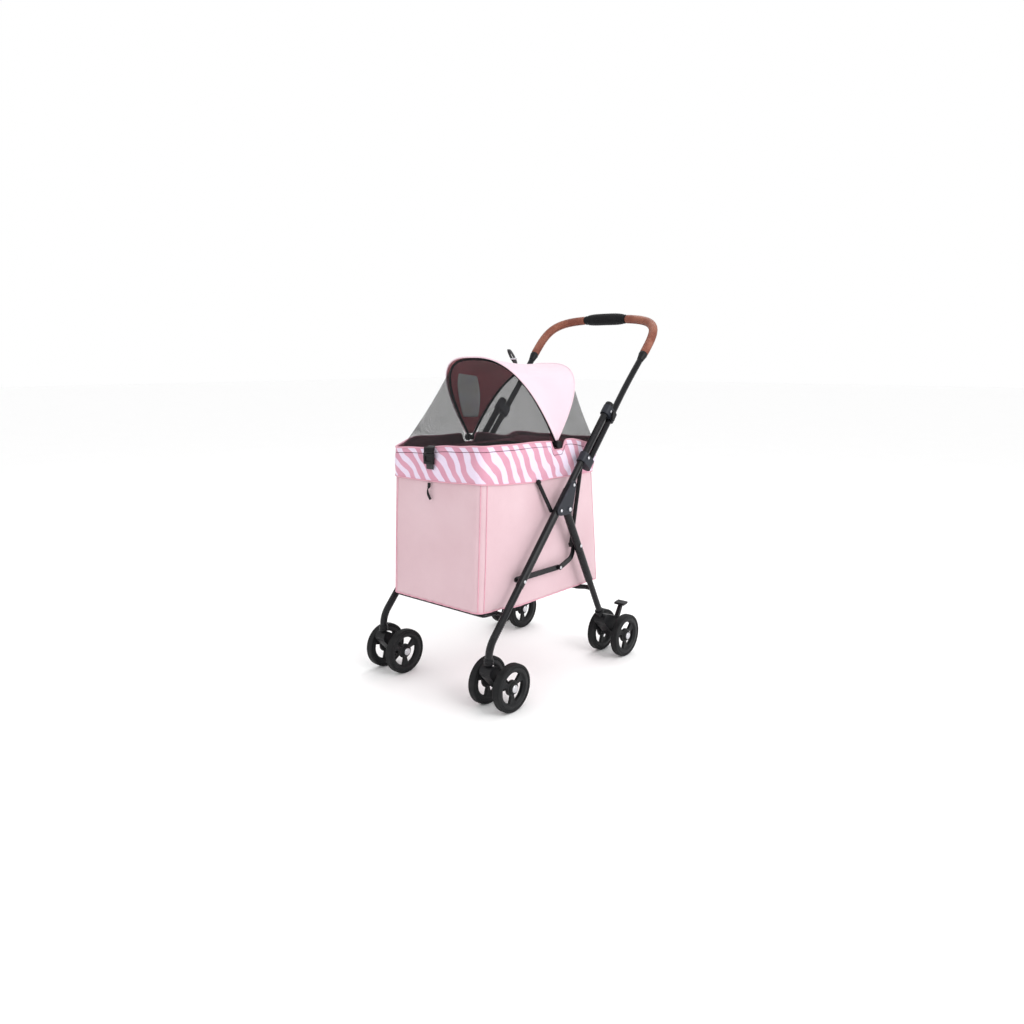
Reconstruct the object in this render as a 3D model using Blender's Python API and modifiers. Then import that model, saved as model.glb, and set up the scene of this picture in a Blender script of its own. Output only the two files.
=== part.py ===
"""A folding pet stroller, in metres, +Z up, with the front facing -Y.

The origin is on the ground under the middle of the stroller. Two long front tubes run from the front casters up
to the upper clamps. The rear legs pivot on the hub plates, and struts and a two-piece brace tie them to the
sliding bow handle and to the front tubes. A fabric cabin hangs in the frame under a canopy on two hoops.
"""

import bmesh
import bpy
from math import acos, atan2, cos, hypot, pi, radians, sin
from mathutils import Matrix, Vector

GAP = 0.0003                            # between pieces that touch
RUNNING_GAP = 0.0005                    # round a tube that slides
SIDES = (("left", 1), ("right", -1))    # left is +X

# Rails: the straight front tubes. A point near them is (across, along): across is the distance behind the
# tube's axis, along is the distance up it from RAIL_BASE, both in the side plane.
TUBE_X = 0.212
RAIL_ANGLE = radians(48.7)
RAIL_BASE = (-0.3838, 0.2065)           # (y, z)
RAIL_TOP = 0.768
RAIL_RADIUS = 0.0105
RAIL_FOOT_RADIUS = 0.08                 # bend above the caster
RAIL_FOOT_Z = 0.132
UPPER_LEG_RADIUS = 0.0125               # the legs' upper stages, across
UPPER_LEG_FLATNESS = 0.88               # thickness over width of the upper stages
RAIL_STAGE = (0.150, 0.470)             # along the rail

# Handle
HANDLE_OFFSET = 0.030                   # behind the front tube's axis
HANDLE_RADIUS = 0.0095
FACET_ALLOWANCE = 1.08                  # clears a ten-sided tube whichever way its facets lie
HANDLE_LOW = 0.590
HANDLE_STRAIGHT = 0.830                 # where the bow starts to curve
HANDLE_TOP = (0.4163, 1.0593)           # (y, z) of the bow's middle
BOW_REACH = 0.2794                      # Bezier handles of the bow
ARM_REACH = 0.286
GRIP_RADIUS = 0.0138
GRIP_SPAN = (0.0835, 0.330)              # along the bow from its middle
SLEEVE_HALF_LENGTH = 0.0815
SLEEVE_RADIUS = 0.019
SLEEVE_END_RADIUS = 0.013

# Clamps and sliders, spans along the rail
CLAMP_SPAN = (0.744, 0.773)
SLIDER_SPAN = (0.569, 0.599)
CLAMP_RADIUS = 0.0145

# Wheels
WHEEL_RADIUS = 0.067
WHEEL_FACETS = 20                       # it stands on one of them
WHEEL_OFFSET = 0.0435                   # from the middle of a pair to each wheel
WHEEL_HALF_HUB = 0.0115
AXLE_RADIUS = 0.004
FRONT_AXLE_Y = -0.3675
REAR_AXLE_Y = 0.1832
SWIVEL_Y = -0.4095
FORK_TOP_Z = 0.131

# Rear legs
HUB_PIVOT = (-0.0805, 0.507)            # (y, z)
LEG_ANGLE = radians(62.35)
LEG_RADIUS = 0.0095
LEG_LENGTH = 0.4406
LEG_STAGE = 0.268                       # length of the upper stage
LEG_TOP = 0.0105                        # how far the leg runs on past its pivot
BRAKE_SLOT = 0.0066                     # half width of the pedal's slot in the housing
BRAKE_PIN_RADIUS = 0.003
BRACE_PIVOT_DISTANCE = 0.134            # down the leg from the hub pivot

# Folding linkage
PIN_RADIUS = 0.004
FRONT_LINK_PIVOT = 0.168                # along the rail
BRACE_ELBOW = (-0.0835, 0.3315)         # (y, z)
STRUT_X = 0.1875
STRUT_RADIUS = 0.006
STRUT_TOP = (0.036, 0.580)              # across and along the rail
LINK_THICKNESS = 0.0045
LINK_HALF_WIDTH = 0.0075
CURVED_LINK_X = 0.1970
FRONT_LINK_X = 0.1912

# Cabin
BAG_FLOOR_Z = 0.258
BAG_TOP_Z = 0.655
BAG_BOTTOM = (0.1740, -0.4030, 0.1500)  # half width, front y, rear y
BAG_TOP = (0.1735, -0.3840, 0.1040)
BAG_CORNER = 0.022
BAG_WALL = 0.003
COLLAR_LOW = (0.1770, -0.3900, 0.1155)
COLLAR_TOP = (0.1760, -0.3860, 0.1450)
COLLAR_SPAN = (0.605, 0.697)
COLLAR_CORNER = 0.026
COLLAR_WALL = 0.0025
NOTCH = (0.020, 0.6725)                 # half width and bottom of the collar's notch at the hoops' pivot
RIM = (0.1690, -0.3795, 0.0995)
RIM_Z = 0.6600
RIM_RADIUS = 0.004

# Canopy
HOOP_PIVOT = (-0.0728, 0.688)           # (y, z)
HOOP_EXPONENT = 2.8                     # of the hoops' superellipse
HOOP_RADIUS = 0.0035
FRONT_HOOP = (0.171, 0.286, radians(33))    # half width, height, tilt to the front
REAR_HOOP = (0.161, 0.277, radians(-37))
SHEET_WALL = 0.0012
MESH_LOW_Z = 0.6995


# Materials ---------------------------------------------------------------------------------------------------

def material(name, colour, roughness, metallic=0.0):
    made = bpy.data.materials.new(name)
    made.use_nodes = True
    shader = made.node_tree.nodes["Principled BSDF"]
    shader.inputs["Base Color"].default_value = (*colour, 1.0)
    shader.inputs["Roughness"].default_value = roughness
    shader.inputs["Metallic"].default_value = metallic
    return made


def make_materials():
    return {
        "black_paint": material("black_paint", (0.012, 0.012, 0.014), 0.22, 0.3),
        "gunmetal": material("gunmetal_plastic", (0.05, 0.055, 0.065), 0.4),
        "black_plastic": material("black_plastic", (0.02, 0.02, 0.02), 0.45),
        "steel": material("rivet_steel", (0.65, 0.65, 0.67), 0.25, 1.0),
        "leather": material("grip_leather", (0.20, 0.055, 0.025), 0.5),
        "foam": material("sleeve_foam", (0.015, 0.015, 0.015), 0.7),
        "tyre": material("wheel_tyre", (0.025, 0.025, 0.027), 0.6),
        "pink": material("pink_canvas", (0.80, 0.55, 0.60), 0.8),
        "stripe": material("striped_collar", (0.78, 0.60, 0.68), 0.6),
        "canopy": material("canopy_cloth", (0.85, 0.70, 0.76), 0.7),
        "mesh": material("black_mesh", (0.03, 0.03, 0.03), 0.8),
        "board": material("base_board", (0.06, 0.05, 0.05), 0.8),
        "mat": material("floor_mat", (0.35, 0.14, 0.16), 0.9),
    }


# Scene -------------------------------------------------------------------------------------------------------

def clear_scene():
    for old in list(bpy.data.objects):
        bpy.data.objects.remove(old, do_unlink=True)


def new_collection(name):
    made = bpy.data.collections.new(name)
    bpy.context.scene.collection.children.link(made)
    return made


def link(thing, finish=None):
    """Put an object among the stroller's parts and give it its material."""
    PARTS.objects.link(thing)
    if finish:
        thing.data.materials.clear()
        thing.data.materials.append(FINISH[finish])
    return thing


def hide_as_cutter(thing):
    for group in list(thing.users_collection):
        group.objects.unlink(thing)
    CUTTERS.objects.link(thing)
    thing.hide_render = True
    thing.display_type = "WIRE"
    return thing


def axis_empty(name, place):
    """An empty on a joint's axis, which the moving pieces are parented to."""
    empty = bpy.data.objects.new(name, None)
    empty.location = place
    PARTS.objects.link(empty)
    return empty


def hang_on(empty, *pieces):
    bpy.context.view_layer.update()
    for piece in pieces:
        piece.parent = empty
        piece.matrix_parent_inverse = empty.matrix_world.inverted()


# Geometry ----------------------------------------------------------------------------------------------------

def rail_point(across, along):
    """(y, z) of a point given behind and up along the front tube's axis."""
    return (RAIL_BASE[0] + along * cos(RAIL_ANGLE) + across * sin(RAIL_ANGLE),
            RAIL_BASE[1] + along * sin(RAIL_ANGLE) - across * cos(RAIL_ANGLE))


def rail_matrix(x):
    """A frame on the rail: X to the left, Y behind the tube, Z up along the tube."""
    return Matrix(((1, 0, 0, x),
                   (0, sin(RAIL_ANGLE), cos(RAIL_ANGLE), RAIL_BASE[0]),
                   (0, -cos(RAIL_ANGLE), sin(RAIL_ANGLE), RAIL_BASE[1]),
                   (0, 0, 0, 1)))


def side_matrix(x):
    """A frame for outlines drawn in the side plane: its X is +Y, its Y is +Z, its Z is +X."""
    return Matrix(((0, 0, 1, x), (1, 0, 0, 0), (0, 1, 0, 0), (0, 0, 0, 1)))


def leg_point(distance):
    """(y, z) of a point on the rear leg's axis, measured down from the hub pivot."""
    return (HUB_PIVOT[0] + distance * cos(LEG_ANGLE), HUB_PIVOT[1] - distance * sin(LEG_ANGLE))


def rounded(points, radius, steps=4, closed=False):
    """The points of a path with each of its corners turned into an arc."""
    points = [Vector(p) for p in points]
    count = len(points)
    path = []
    for index, corner in enumerate(points):
        if not closed and index in (0, count - 1):
            path.append(corner)
            continue
        before = (points[index - 1] - corner).normalized()
        after = (points[(index + 1) % count] - corner).normalized()
        turn = pi - before.angle(after)
        if turn < 0.01:
            path.append(corner)
            continue
        inward = (before + after).normalized()
        centre = corner + inward * (radius / cos(turn / 2))
        start = corner + before * (radius * sin(turn / 2) / cos(turn / 2)) - centre
        sideways = (after - before).normalized()
        for step in range(steps + 1):
            swing = turn * (step / steps - 0.5)
            path.append(centre - inward * (start.length * cos(swing)) + sideways * (start.length * sin(swing)))
    return path


def hull_outline(circles, steps=8):
    """The outline round a set of circles (centre, radius) as a string round them would lie."""
    spots = []
    for (first, second), radius in circles:
        for step in range(steps):
            spots.append((first + radius * cos(2 * pi * step / steps), second + radius * sin(2 * pi * step / steps)))
    spots.sort()

    def half(ordered):
        chain = []
        for spot in ordered:
            while len(chain) > 1 and turns_right(chain[-2], chain[-1], spot):
                chain.pop()
            chain.append(spot)
        return chain[:-1]

    return half(spots) + half(spots[::-1])


def turns_right(a, b, c):
    return (b[0] - a[0]) * (c[1] - a[1]) - (b[1] - a[1]) * (c[0] - a[0]) <= 1e-9


def swept(name, path, radius, finish=None, resolution=4, closed=False):
    """A round tube along a path of points."""
    curve = bpy.data.curves.new(name, "CURVE")
    curve.dimensions = "3D"
    curve.bevel_depth = radius
    curve.bevel_resolution = resolution
    curve.use_fill_caps = not closed
    spline = curve.splines.new("POLY")
    spline.points.add(len(path) - 1)
    for point, place in zip(spline.points, path):
        point.co = (*place, 1.0)
    spline.use_cyclic_u = closed
    return link(bpy.data.objects.new(name, curve), finish)


def extruded(name, outline, thickness, frame, finish=None):
    """A flat outline, centred on its frame's plane and extruded both ways."""
    curve = bpy.data.curves.new(name, "CURVE")
    curve.dimensions = "2D"
    curve.fill_mode = "BOTH"
    curve.extrude = thickness / 2
    spline = curve.splines.new("POLY")
    spline.points.add(len(outline) - 1)
    for point, place in zip(spline.points, outline):
        point.co = (place[0], place[1], 0.0, 1.0)
    spline.use_cyclic_u = True
    made = link(bpy.data.objects.new(name, curve), finish)
    made.matrix_world = frame
    return made


def as_mesh(thing):
    """The same shape as a mesh object, with its caps welded and its own transform kept."""
    bpy.context.view_layer.update()
    evaluated = thing.evaluated_get(bpy.context.evaluated_depsgraph_get())
    data = bpy.data.meshes.new_from_object(evaluated)
    body = bmesh.new()
    body.from_mesh(data)
    bmesh.ops.remove_doubles(body, verts=body.verts, dist=1e-6)
    bmesh.ops.recalc_face_normals(body, faces=body.faces)
    body.to_mesh(data)
    body.free()
    name, place = thing.name, thing.matrix_world.copy()
    groups = list(thing.users_collection)
    bpy.data.objects.remove(thing, do_unlink=True)
    made = bpy.data.objects.new(name, data)
    data.name = name
    made.matrix_world = place
    for group in groups:
        group.objects.link(made)
    return made


def rod(name, start, end, radius, sides=12):
    """A plain cylinder between two points."""
    start, end = Vector(start), Vector(end)
    data = bpy.data.meshes.new(name)
    body = bmesh.new()
    bmesh.ops.create_cone(body, cap_ends=True, segments=sides, radius1=radius, radius2=radius,
                          depth=(end - start).length)
    body.to_mesh(data)
    body.free()
    made = bpy.data.objects.new(name, data)
    made.location = (start + end) / 2
    made.rotation_mode = "QUATERNION"
    made.rotation_quaternion = Vector((0, 0, 1)).rotation_difference(end - start)
    PARTS.objects.link(made)
    return made


def side_rod(name, side, inner, outer, place, radius, sides=12):
    """A cylinder along X at (y, z), between two distances from the middle plane."""
    return rod(name, (side * inner, *place), (side * outer, *place), radius, sides)


def combine(thing, tool, operation):
    step = thing.modifiers.new(tool.name, "BOOLEAN")
    step.operation = operation
    step.solver = "EXACT"
    step.object = hide_as_cutter(tool)
    return thing


def cut(thing, *tools):
    for tool in tools:
        combine(thing, tool, "DIFFERENCE")
    return thing


def join(thing, *tools):
    for tool in tools:
        combine(thing, tool, "UNION")
    return thing


def turned(name, profile, steps, finish=None):
    """A closed profile of (radius, height) points turned about Z."""
    data = bpy.data.meshes.new(name)
    count = len(profile)
    data.from_pydata([(radius, 0, height) for radius, height in profile],
                     [(index, (index + 1) % count) for index in range(count)], [])
    made = link(bpy.data.objects.new(name, data), finish)
    turn = made.modifiers.new("turn", "SCREW")
    turn.steps = steps
    turn.render_steps = steps
    turn.use_merge_vertices = True
    turn.merge_threshold = 0.0001
    return made


def smooth(thing, degrees=40):
    data = thing.data
    if isinstance(data, bpy.types.Mesh):
        data.shade_smooth()
        data.set_sharp_from_angle(angle=radians(degrees))
    return thing


# Frame -------------------------------------------------------------------------------------------------------

def rail_path(x):
    """The front tube's axis, from the caster's socket up to the clamp."""
    corner_z = RAIL_BASE[1] + (SWIVEL_Y - RAIL_BASE[0]) * sin(RAIL_ANGLE) / cos(RAIL_ANGLE)
    corners = [(x, SWIVEL_Y, RAIL_FOOT_Z), (x, SWIVEL_Y, corner_z), (x, *rail_point(0, RAIL_TOP))]
    return rounded(corners, RAIL_FOOT_RADIUS, 6)


def upper_stage(name, side, low, high):
    """A leg's wider upper stage, a tube slightly flattened across the stroller."""
    stage = rod(name, (side * TUBE_X, *low), (side * TUBE_X, *high), UPPER_LEG_RADIUS, 20)
    stage.scale.x = UPPER_LEG_FLATNESS
    return stage


def make_front_legs():
    stem_bore_radius = 0.0062
    for label, side in SIDES:
        leg = as_mesh(swept(f"front_leg_{label}", rail_path(side * TUBE_X), RAIL_RADIUS, "black_paint"))
        foot = (side * TUBE_X, SWIVEL_Y, RAIL_FOOT_Z)
        bore = rod(f"stem_bore_{label}", (foot[0], foot[1], foot[2] - 0.01), (foot[0], foot[1], foot[2] + 0.026),
                   stem_bore_radius)
        pivot = rail_point(0, FRONT_LINK_PIVOT)
        stud = side_rod(f"front_link_stud_{label}", side, FRONT_LINK_X - 0.004, TUBE_X, pivot, PIN_RADIUS)
        stage = upper_stage(f"front_stage_{label}", side, rail_point(0, RAIL_STAGE[0]), rail_point(0, RAIL_STAGE[1]))
        cut(join(leg, stage, stud), bore)
        smooth(leg)


def hub_outline():
    """The hub plate's outline, round its two fixing rivets and the rear leg's pivot."""
    upper, lower = hub_rivets()
    return hull_outline([(upper, 0.0125), (lower, 0.0150), (HUB_PIVOT, 0.0140)], 16)


def hub_rivets():
    return rail_point(-0.001, 0.4895), rail_point(-0.001, 0.4010)


def make_hub_plates():
    thickness = 0.0035
    middle = TUBE_X + UPPER_LEG_RADIUS * UPPER_LEG_FLATNESS + 0.0006 + thickness / 2
    for label, side in SIDES:
        plate = as_mesh(extruded(f"hub_plate_{label}", hub_outline(), thickness, side_matrix(side * middle),
                                 "gunmetal"))
        for number, place in enumerate(hub_rivets()):
            face = middle + thickness / 2
            join(plate, side_rod(f"hub_rivet_{number}_{label}", side, face - 0.001, face + 0.0015, place, 0.0042))
        hole = side_rod(f"hub_hole_{label}", side, middle - 0.01, middle + 0.01, HUB_PIVOT, PIN_RADIUS + GAP)
        smooth(cut(plate, hole))
        make_hub_pin(label, side, middle + thickness / 2)


def make_hub_pin(label, side, plate_face):
    """The rear leg's pivot pin, with a head on the plate."""
    pin = side_rod(f"hub_pin_{label}", side, TUBE_X - UPPER_LEG_RADIUS, plate_face + 0.001, HUB_PIVOT, PIN_RADIUS)
    pin.data.materials.append(FINISH["steel"])
    head = side_rod(f"hub_pin_head_{label}", side, plate_face + GAP, plate_face + 0.0028, HUB_PIVOT, 0.0065, 16)
    smooth(join(pin, head))


def guide_outline():
    """The outline of a clamp or slider across the rail, round both tubes."""
    return hull_outline([((0, 0), CLAMP_RADIUS), ((0, HANDLE_OFFSET + 0.001), CLAMP_RADIUS)], 16)


def guide_block(name, side, span, finish):
    frame = rail_matrix(side * TUBE_X) @ Matrix.Translation((0, 0, (span[0] + span[1]) / 2))
    return as_mesh(extruded(name, guide_outline(), span[1] - span[0], frame, finish))


def rail_bore(name, side, across, span, radius):
    """A bore along the rail, for cutting."""
    x = side * TUBE_X
    return rod(name, (x, *rail_point(across, span[0])), (x, *rail_point(across, span[1])), radius, 18)


def make_upper_clamps():
    low, high = CLAMP_SPAN
    for label, side in SIDES:
        clamp = guide_block(f"upper_clamp_{label}", side, CLAMP_SPAN, "gunmetal")
        cut(clamp,
            rail_bore(f"clamp_socket_{label}", side, 0, (low - 0.01, RAIL_TOP + GAP), RAIL_RADIUS + GAP),
            rail_bore(f"clamp_guide_{label}", side, HANDLE_OFFSET, (low - 0.01, high + 0.01),
                      HANDLE_RADIUS + RUNNING_GAP))
        smooth(clamp)


def make_clamp_levers():
    """Flip levers on the outer faces of the upper clamps."""
    thickness = 0.006
    pivot = rail_point(HANDLE_OFFSET * 0.5, CLAMP_SPAN[1] - 0.012)
    tip = rail_point(HANDLE_OFFSET * 0.75, CLAMP_SPAN[0] + 0.002)
    outline = hull_outline([(pivot, 0.0085), (tip, 0.0060)], 12)
    middle = TUBE_X + CLAMP_RADIUS + 0.0008 + thickness / 2
    for label, side in SIDES:
        lever = as_mesh(extruded(f"clamp_lever_{label}", outline, thickness, side_matrix(side * middle),
                                 "black_plastic"))
        hang_on(axis_empty(f"clamp_lever_axis_{label}", (side * middle, *pivot)), smooth(lever))


def make_front_cross_bar():
    """The bar under the front edge of the cabin, with its ends turned back to the front tubes."""
    radius = 0.0055
    height = BAG_FLOOR_Z - radius - 0.001
    end_x = TUBE_X - RAIL_RADIUS - 0.0006
    half = [(0.170, -0.3830, height), (0.177, -0.3380, height), (end_x, -0.3380, height)]
    corners = [(-x, y, z) for x, y, z in reversed(half)] + half
    swept("front_cross_bar", rounded(corners, 0.010, 3), radius, "black_paint", 2)


def ring_path(half_width, front, rear, corner, z, steps=4):
    """A level rounded rectangle."""
    corners = [(half_width, front, z), (half_width, rear, z), (-half_width, rear, z), (-half_width, front, z)]
    return rounded(corners, corner, steps, closed=True)


def make_rim_frame():
    swept("rim_frame", ring_path(*RIM, COLLAR_CORNER, RIM_Z), RIM_RADIUS, "black_paint", 2, closed=True)


def make_rim_stays():
    """Stays that lean in from the front tubes to the cabin's sides, under the collar."""
    radius = 0.0058
    for label, side in SIDES:
        foot = (side * (TUBE_X - UPPER_LEG_RADIUS * UPPER_LEG_FLATNESS - radius - GAP), *rail_point(0, 0.394))
        top = (side * (BAG_BOTTOM[0] + radius + 0.0004), -0.1665, 0.5905)
        swept(f"rim_stay_{label}", [foot, top], radius, "black_paint", 2)


# Rear legs ---------------------------------------------------------------------------------------------------

def make_rear_legs():
    """The legs with their pivot holes and the studs that the strut and the brace turn on."""
    brace = leg_point(BRACE_PIVOT_DISTANCE)
    legs = []
    for label, side in SIDES:
        x = side * TUBE_X
        leg = as_mesh(swept(f"rear_leg_{label}", [(x, *leg_point(0.020)), (x, *leg_point(LEG_LENGTH))],
                            LEG_RADIUS, "black_paint"))
        stage = upper_stage(f"rear_stage_{label}", side, leg_point(-LEG_TOP), leg_point(LEG_STAGE))
        hole = side_rod(f"leg_hole_{label}", side, TUBE_X - 0.02, TUBE_X + 0.02, HUB_PIVOT, PIN_RADIUS + GAP)
        stud = side_rod(f"brace_stud_{label}", side, STRUT_X - STRUT_RADIUS - 0.001, TUBE_X + 0.0130, brace,
                        PIN_RADIUS)
        legs.append(smooth(cut(join(leg, stage, stud), hole)))
    return legs


def make_rear_cross_bar():
    """The bar between the rear legs, set forward under the cabin."""
    radius = 0.0075
    end_x = TUBE_X - LEG_RADIUS - 0.0006
    end = leg_point(0.302)
    half = [(0.168, end[0] - 0.014, end[1]), (0.186, *end), (end_x, *end)]
    corners = [(-x, y, z) for x, y, z in reversed(half)] + half
    return swept("rear_cross_bar", rounded(corners, 0.016, 3), radius, "black_paint", 2)


def make_rear_housings():
    """Moulded housings that join each rear leg to its wheels' axle."""
    half_width = 0.020
    socket = leg_point(LEG_LENGTH - 0.014)
    axle = (REAR_AXLE_Y, WHEEL_RADIUS)
    pivot = brake_pivot()
    outline = hull_outline([(socket, 0.0165), (axle, 0.0160), (pivot, 0.0085)], 14)
    housings = []
    for label, side in SIDES:
        x = side * TUBE_X
        housing = as_mesh(extruded(f"rear_housing_{label}", outline, 2 * half_width, side_matrix(x),
                                   "black_plastic"))
        socket_bore = rod(f"leg_socket_{label}", (x, *leg_point(LEG_LENGTH - 0.06)),
                          (x, *leg_point(LEG_LENGTH + GAP)), LEG_RADIUS + GAP, 16)
        axle_bore = side_rod(f"rear_axle_bore_{label}", side, TUBE_X - 0.03, TUBE_X + 0.03, axle,
                             AXLE_RADIUS + GAP)
        slot = side_rod(f"brake_slot_{label}", side, TUBE_X - BRAKE_SLOT, TUBE_X + BRAKE_SLOT, pivot, 0.0125, 16)
        pin = side_rod(f"brake_pin_{label}", side, TUBE_X - 0.015, TUBE_X + 0.015, pivot, BRAKE_PIN_RADIUS)
        housings.append(smooth(join(cut(housing, socket_bore, axle_bore, slot), pin)))
    return housings


def brake_pivot():
    return REAR_AXLE_Y + 0.0165, 0.1085


def make_brake_pedals():
    """Foot pedals: an arm that stands up from the housing, with a ribbed pad across its top."""
    pivot = brake_pivot()
    tip = (pivot[0] + 0.0250, pivot[1] + 0.0430)
    arm_outline = hull_outline([(pivot, 0.0070), (tip, 0.0045)], 12)
    pedals = []
    for label, side in SIDES:
        x = side * TUBE_X
        pedal = as_mesh(extruded(f"brake_pedal_{label}", arm_outline, 0.012, side_matrix(x), "black_plastic"))
        pad_outline = hull_outline([((tip[0] - 0.010, tip[1] + 0.002), 0.0040),
                                    ((tip[0] + 0.010, tip[1] + 0.005), 0.0040)], 8)
        pad = as_mesh(extruded(f"brake_pad_{label}", pad_outline, 0.034, side_matrix(x)))
        hole = side_rod(f"brake_hole_{label}", side, TUBE_X - 0.01, TUBE_X + 0.01, pivot, BRAKE_PIN_RADIUS + GAP)
        smooth(cut(join(pedal, pad), hole))
        hang_on(axis_empty(f"brake_axis_{label}", (x, *pivot)), pedal)
        pedals.append(pedal)
    return pedals


# Linkage -----------------------------------------------------------------------------------------------------

def make_struts():
    """Thin tubes from the rear legs' studs up to the sliders."""
    lower, upper = leg_point(BRACE_PIVOT_DISTANCE), rail_point(*STRUT_TOP)
    length = hypot(upper[0] - lower[0], upper[1] - lower[1])
    along = ((upper[0] - lower[0]) / length, (upper[1] - lower[1]) / length)
    over = 0.0085
    for label, side in SIDES:
        x = side * STRUT_X
        ends = [(x, lower[0] - along[0] * over, lower[1] - along[1] * over),
                (x, upper[0] + along[0] * over, upper[1] + along[1] * over)]
        strut = as_mesh(swept(f"strut_{label}", ends, STRUT_RADIUS, "black_paint", 3))
        cut(strut, side_rod(f"strut_hole_{label}", side, STRUT_X - 0.01, STRUT_X + 0.01, lower, PIN_RADIUS + GAP))
        hang_on(axis_empty(f"strut_axis_{label}", (x, *lower)), smooth(strut))


def bar_outline(path, half_width, end_steps=6):
    """The outline of a flat bar with round ends along a path in the side plane."""
    path = [Vector(p) for p in path]
    left, right = [], []
    for index, spot in enumerate(path):
        ahead = path[min(index + 1, len(path) - 1)] - path[max(index - 1, 0)]
        across = Vector((-ahead[1], ahead[0])).normalized() * half_width
        left.append(spot + across)
        right.append(spot - across)
    caps = []
    for centre, start in ((path[-1], left[-1]), (path[0], right[0])):
        angle = atan2(start[1] - centre[1], start[0] - centre[0])
        caps.append([(centre[0] + half_width * cos(angle - pi * step / end_steps),
                      centre[1] + half_width * sin(angle - pi * step / end_steps))
                     for step in range(1, end_steps)])
    return left + caps[0] + right[::-1] + caps[1]


def curved_link_path():
    """Down from the rear leg's stud, then forward to the brace's elbow."""
    top = leg_point(BRACE_PIVOT_DISTANCE)
    corner = (top[0] - 0.0060, BRACE_ELBOW[1] + 0.0200)
    return [p.xy for p in rounded([(*top, 0), (*corner, 0), (*BRACE_ELBOW, 0)], 0.030, 6)]


def make_curved_links():
    pivot = leg_point(BRACE_PIVOT_DISTANCE)
    for label, side in SIDES:
        link_bar = as_mesh(extruded(f"curved_link_{label}", bar_outline(curved_link_path(), LINK_HALF_WIDTH),
                                    LINK_THICKNESS, side_matrix(side * CURVED_LINK_X), "black_paint"))
        hole = side_rod(f"curved_link_hole_{label}", side, CURVED_LINK_X - 0.01, CURVED_LINK_X + 0.01, pivot,
                        PIN_RADIUS + GAP)
        rivet = side_rod(f"elbow_rivet_{label}", side, CURVED_LINK_X, CURVED_LINK_X + LINK_THICKNESS / 2 + 0.0016,
                         BRACE_ELBOW, 0.0040)
        cut(join(link_bar, rivet), hole)
        hang_on(axis_empty(f"curved_link_axis_{label}", (side * CURVED_LINK_X, *pivot)), smooth(link_bar))


def make_front_links():
    pivot = rail_point(0, FRONT_LINK_PIVOT)
    for label, side in SIDES:
        link_bar = as_mesh(extruded(f"front_link_{label}", bar_outline([pivot, BRACE_ELBOW], LINK_HALF_WIDTH),
                                    LINK_THICKNESS, side_matrix(side * FRONT_LINK_X), "black_paint"))
        hole = side_rod(f"front_link_hole_{label}", side, FRONT_LINK_X - 0.01, FRONT_LINK_X + 0.01, pivot,
                        PIN_RADIUS + GAP)
        hang_on(axis_empty(f"front_link_axis_{label}", (side * FRONT_LINK_X, *pivot)), smooth(cut(link_bar, hole)))


# Handle ------------------------------------------------------------------------------------------------------

def bow_point(share):
    """A point on half of the bow, from its middle (0) to where the arm runs straight (1)."""
    straight = rail_point(HANDLE_OFFSET, HANDLE_STRAIGHT)
    knots = [Vector((0, *HANDLE_TOP)),
             Vector((BOW_REACH, *HANDLE_TOP)),
             Vector((TUBE_X, straight[0] + ARM_REACH * cos(RAIL_ANGLE), straight[1] + ARM_REACH * sin(RAIL_ANGLE))),
             Vector((TUBE_X, *straight))]
    weights = ((1 - share) ** 3, 3 * (1 - share) ** 2 * share, 3 * (1 - share) * share ** 2, share ** 3)
    return sum((knot * weight for knot, weight in zip(knots, weights)), Vector())


def bow_half(steps):
    return [bow_point(step / steps) for step in range(steps + 1)]


def stretch_of(path, start, end, steps):
    """Evenly spaced points of a path between two distances along it."""
    marks = [0.0]
    for before, after in zip(path, path[1:]):
        marks.append(marks[-1] + (after - before).length)
    found = []
    for step in range(steps + 1):
        wanted = start + (end - start) * step / steps
        index = max(i for i, mark in enumerate(marks[:-1]) if mark <= wanted)
        share = (wanted - marks[index]) / (marks[index + 1] - marks[index])
        found.append(path[index].lerp(path[index + 1], share))
    return found


def length_of(path):
    return sum((after - before).length for before, after in zip(path, path[1:]))


def mirrored(path):
    return [Vector((-p.x, p.y, p.z)) for p in path]


def make_handle():
    fine = bow_half(64)
    foot = Vector((TUBE_X, *rail_point(HANDLE_OFFSET, HANDLE_LOW)))
    arm = stretch_of(fine, 0.0, length_of(fine), 14) + [foot]
    tube = swept("handle_tube", mirrored(arm[:0:-1]) + arm, HANDLE_RADIUS, "black_paint", 3)
    tube = as_mesh(tube)
    pieces = [tube]
    grip_path = stretch_of(fine, *GRIP_SPAN, 9)
    for label, path in (("left", grip_path), ("right", mirrored(grip_path))):
        grip = as_mesh(swept(f"handle_grip_{label}", path, GRIP_RADIUS, "leather", 3))
        pieces.append(smooth(cut(grip, bow_core(f"grip_core_{label}", arm, label))))
    pieces.append(make_sleeve(fine))
    smooth(tube)
    return pieces


def bow_core(name, arm, label):
    """The tube's own shape with a little clearance, for hollowing what sits on it."""
    path = arm[:-1] if label == "left" else mirrored(arm[:-1])
    return as_mesh(swept(name, path, HANDLE_RADIUS * FACET_ALLOWANCE, None, 3))


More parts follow.
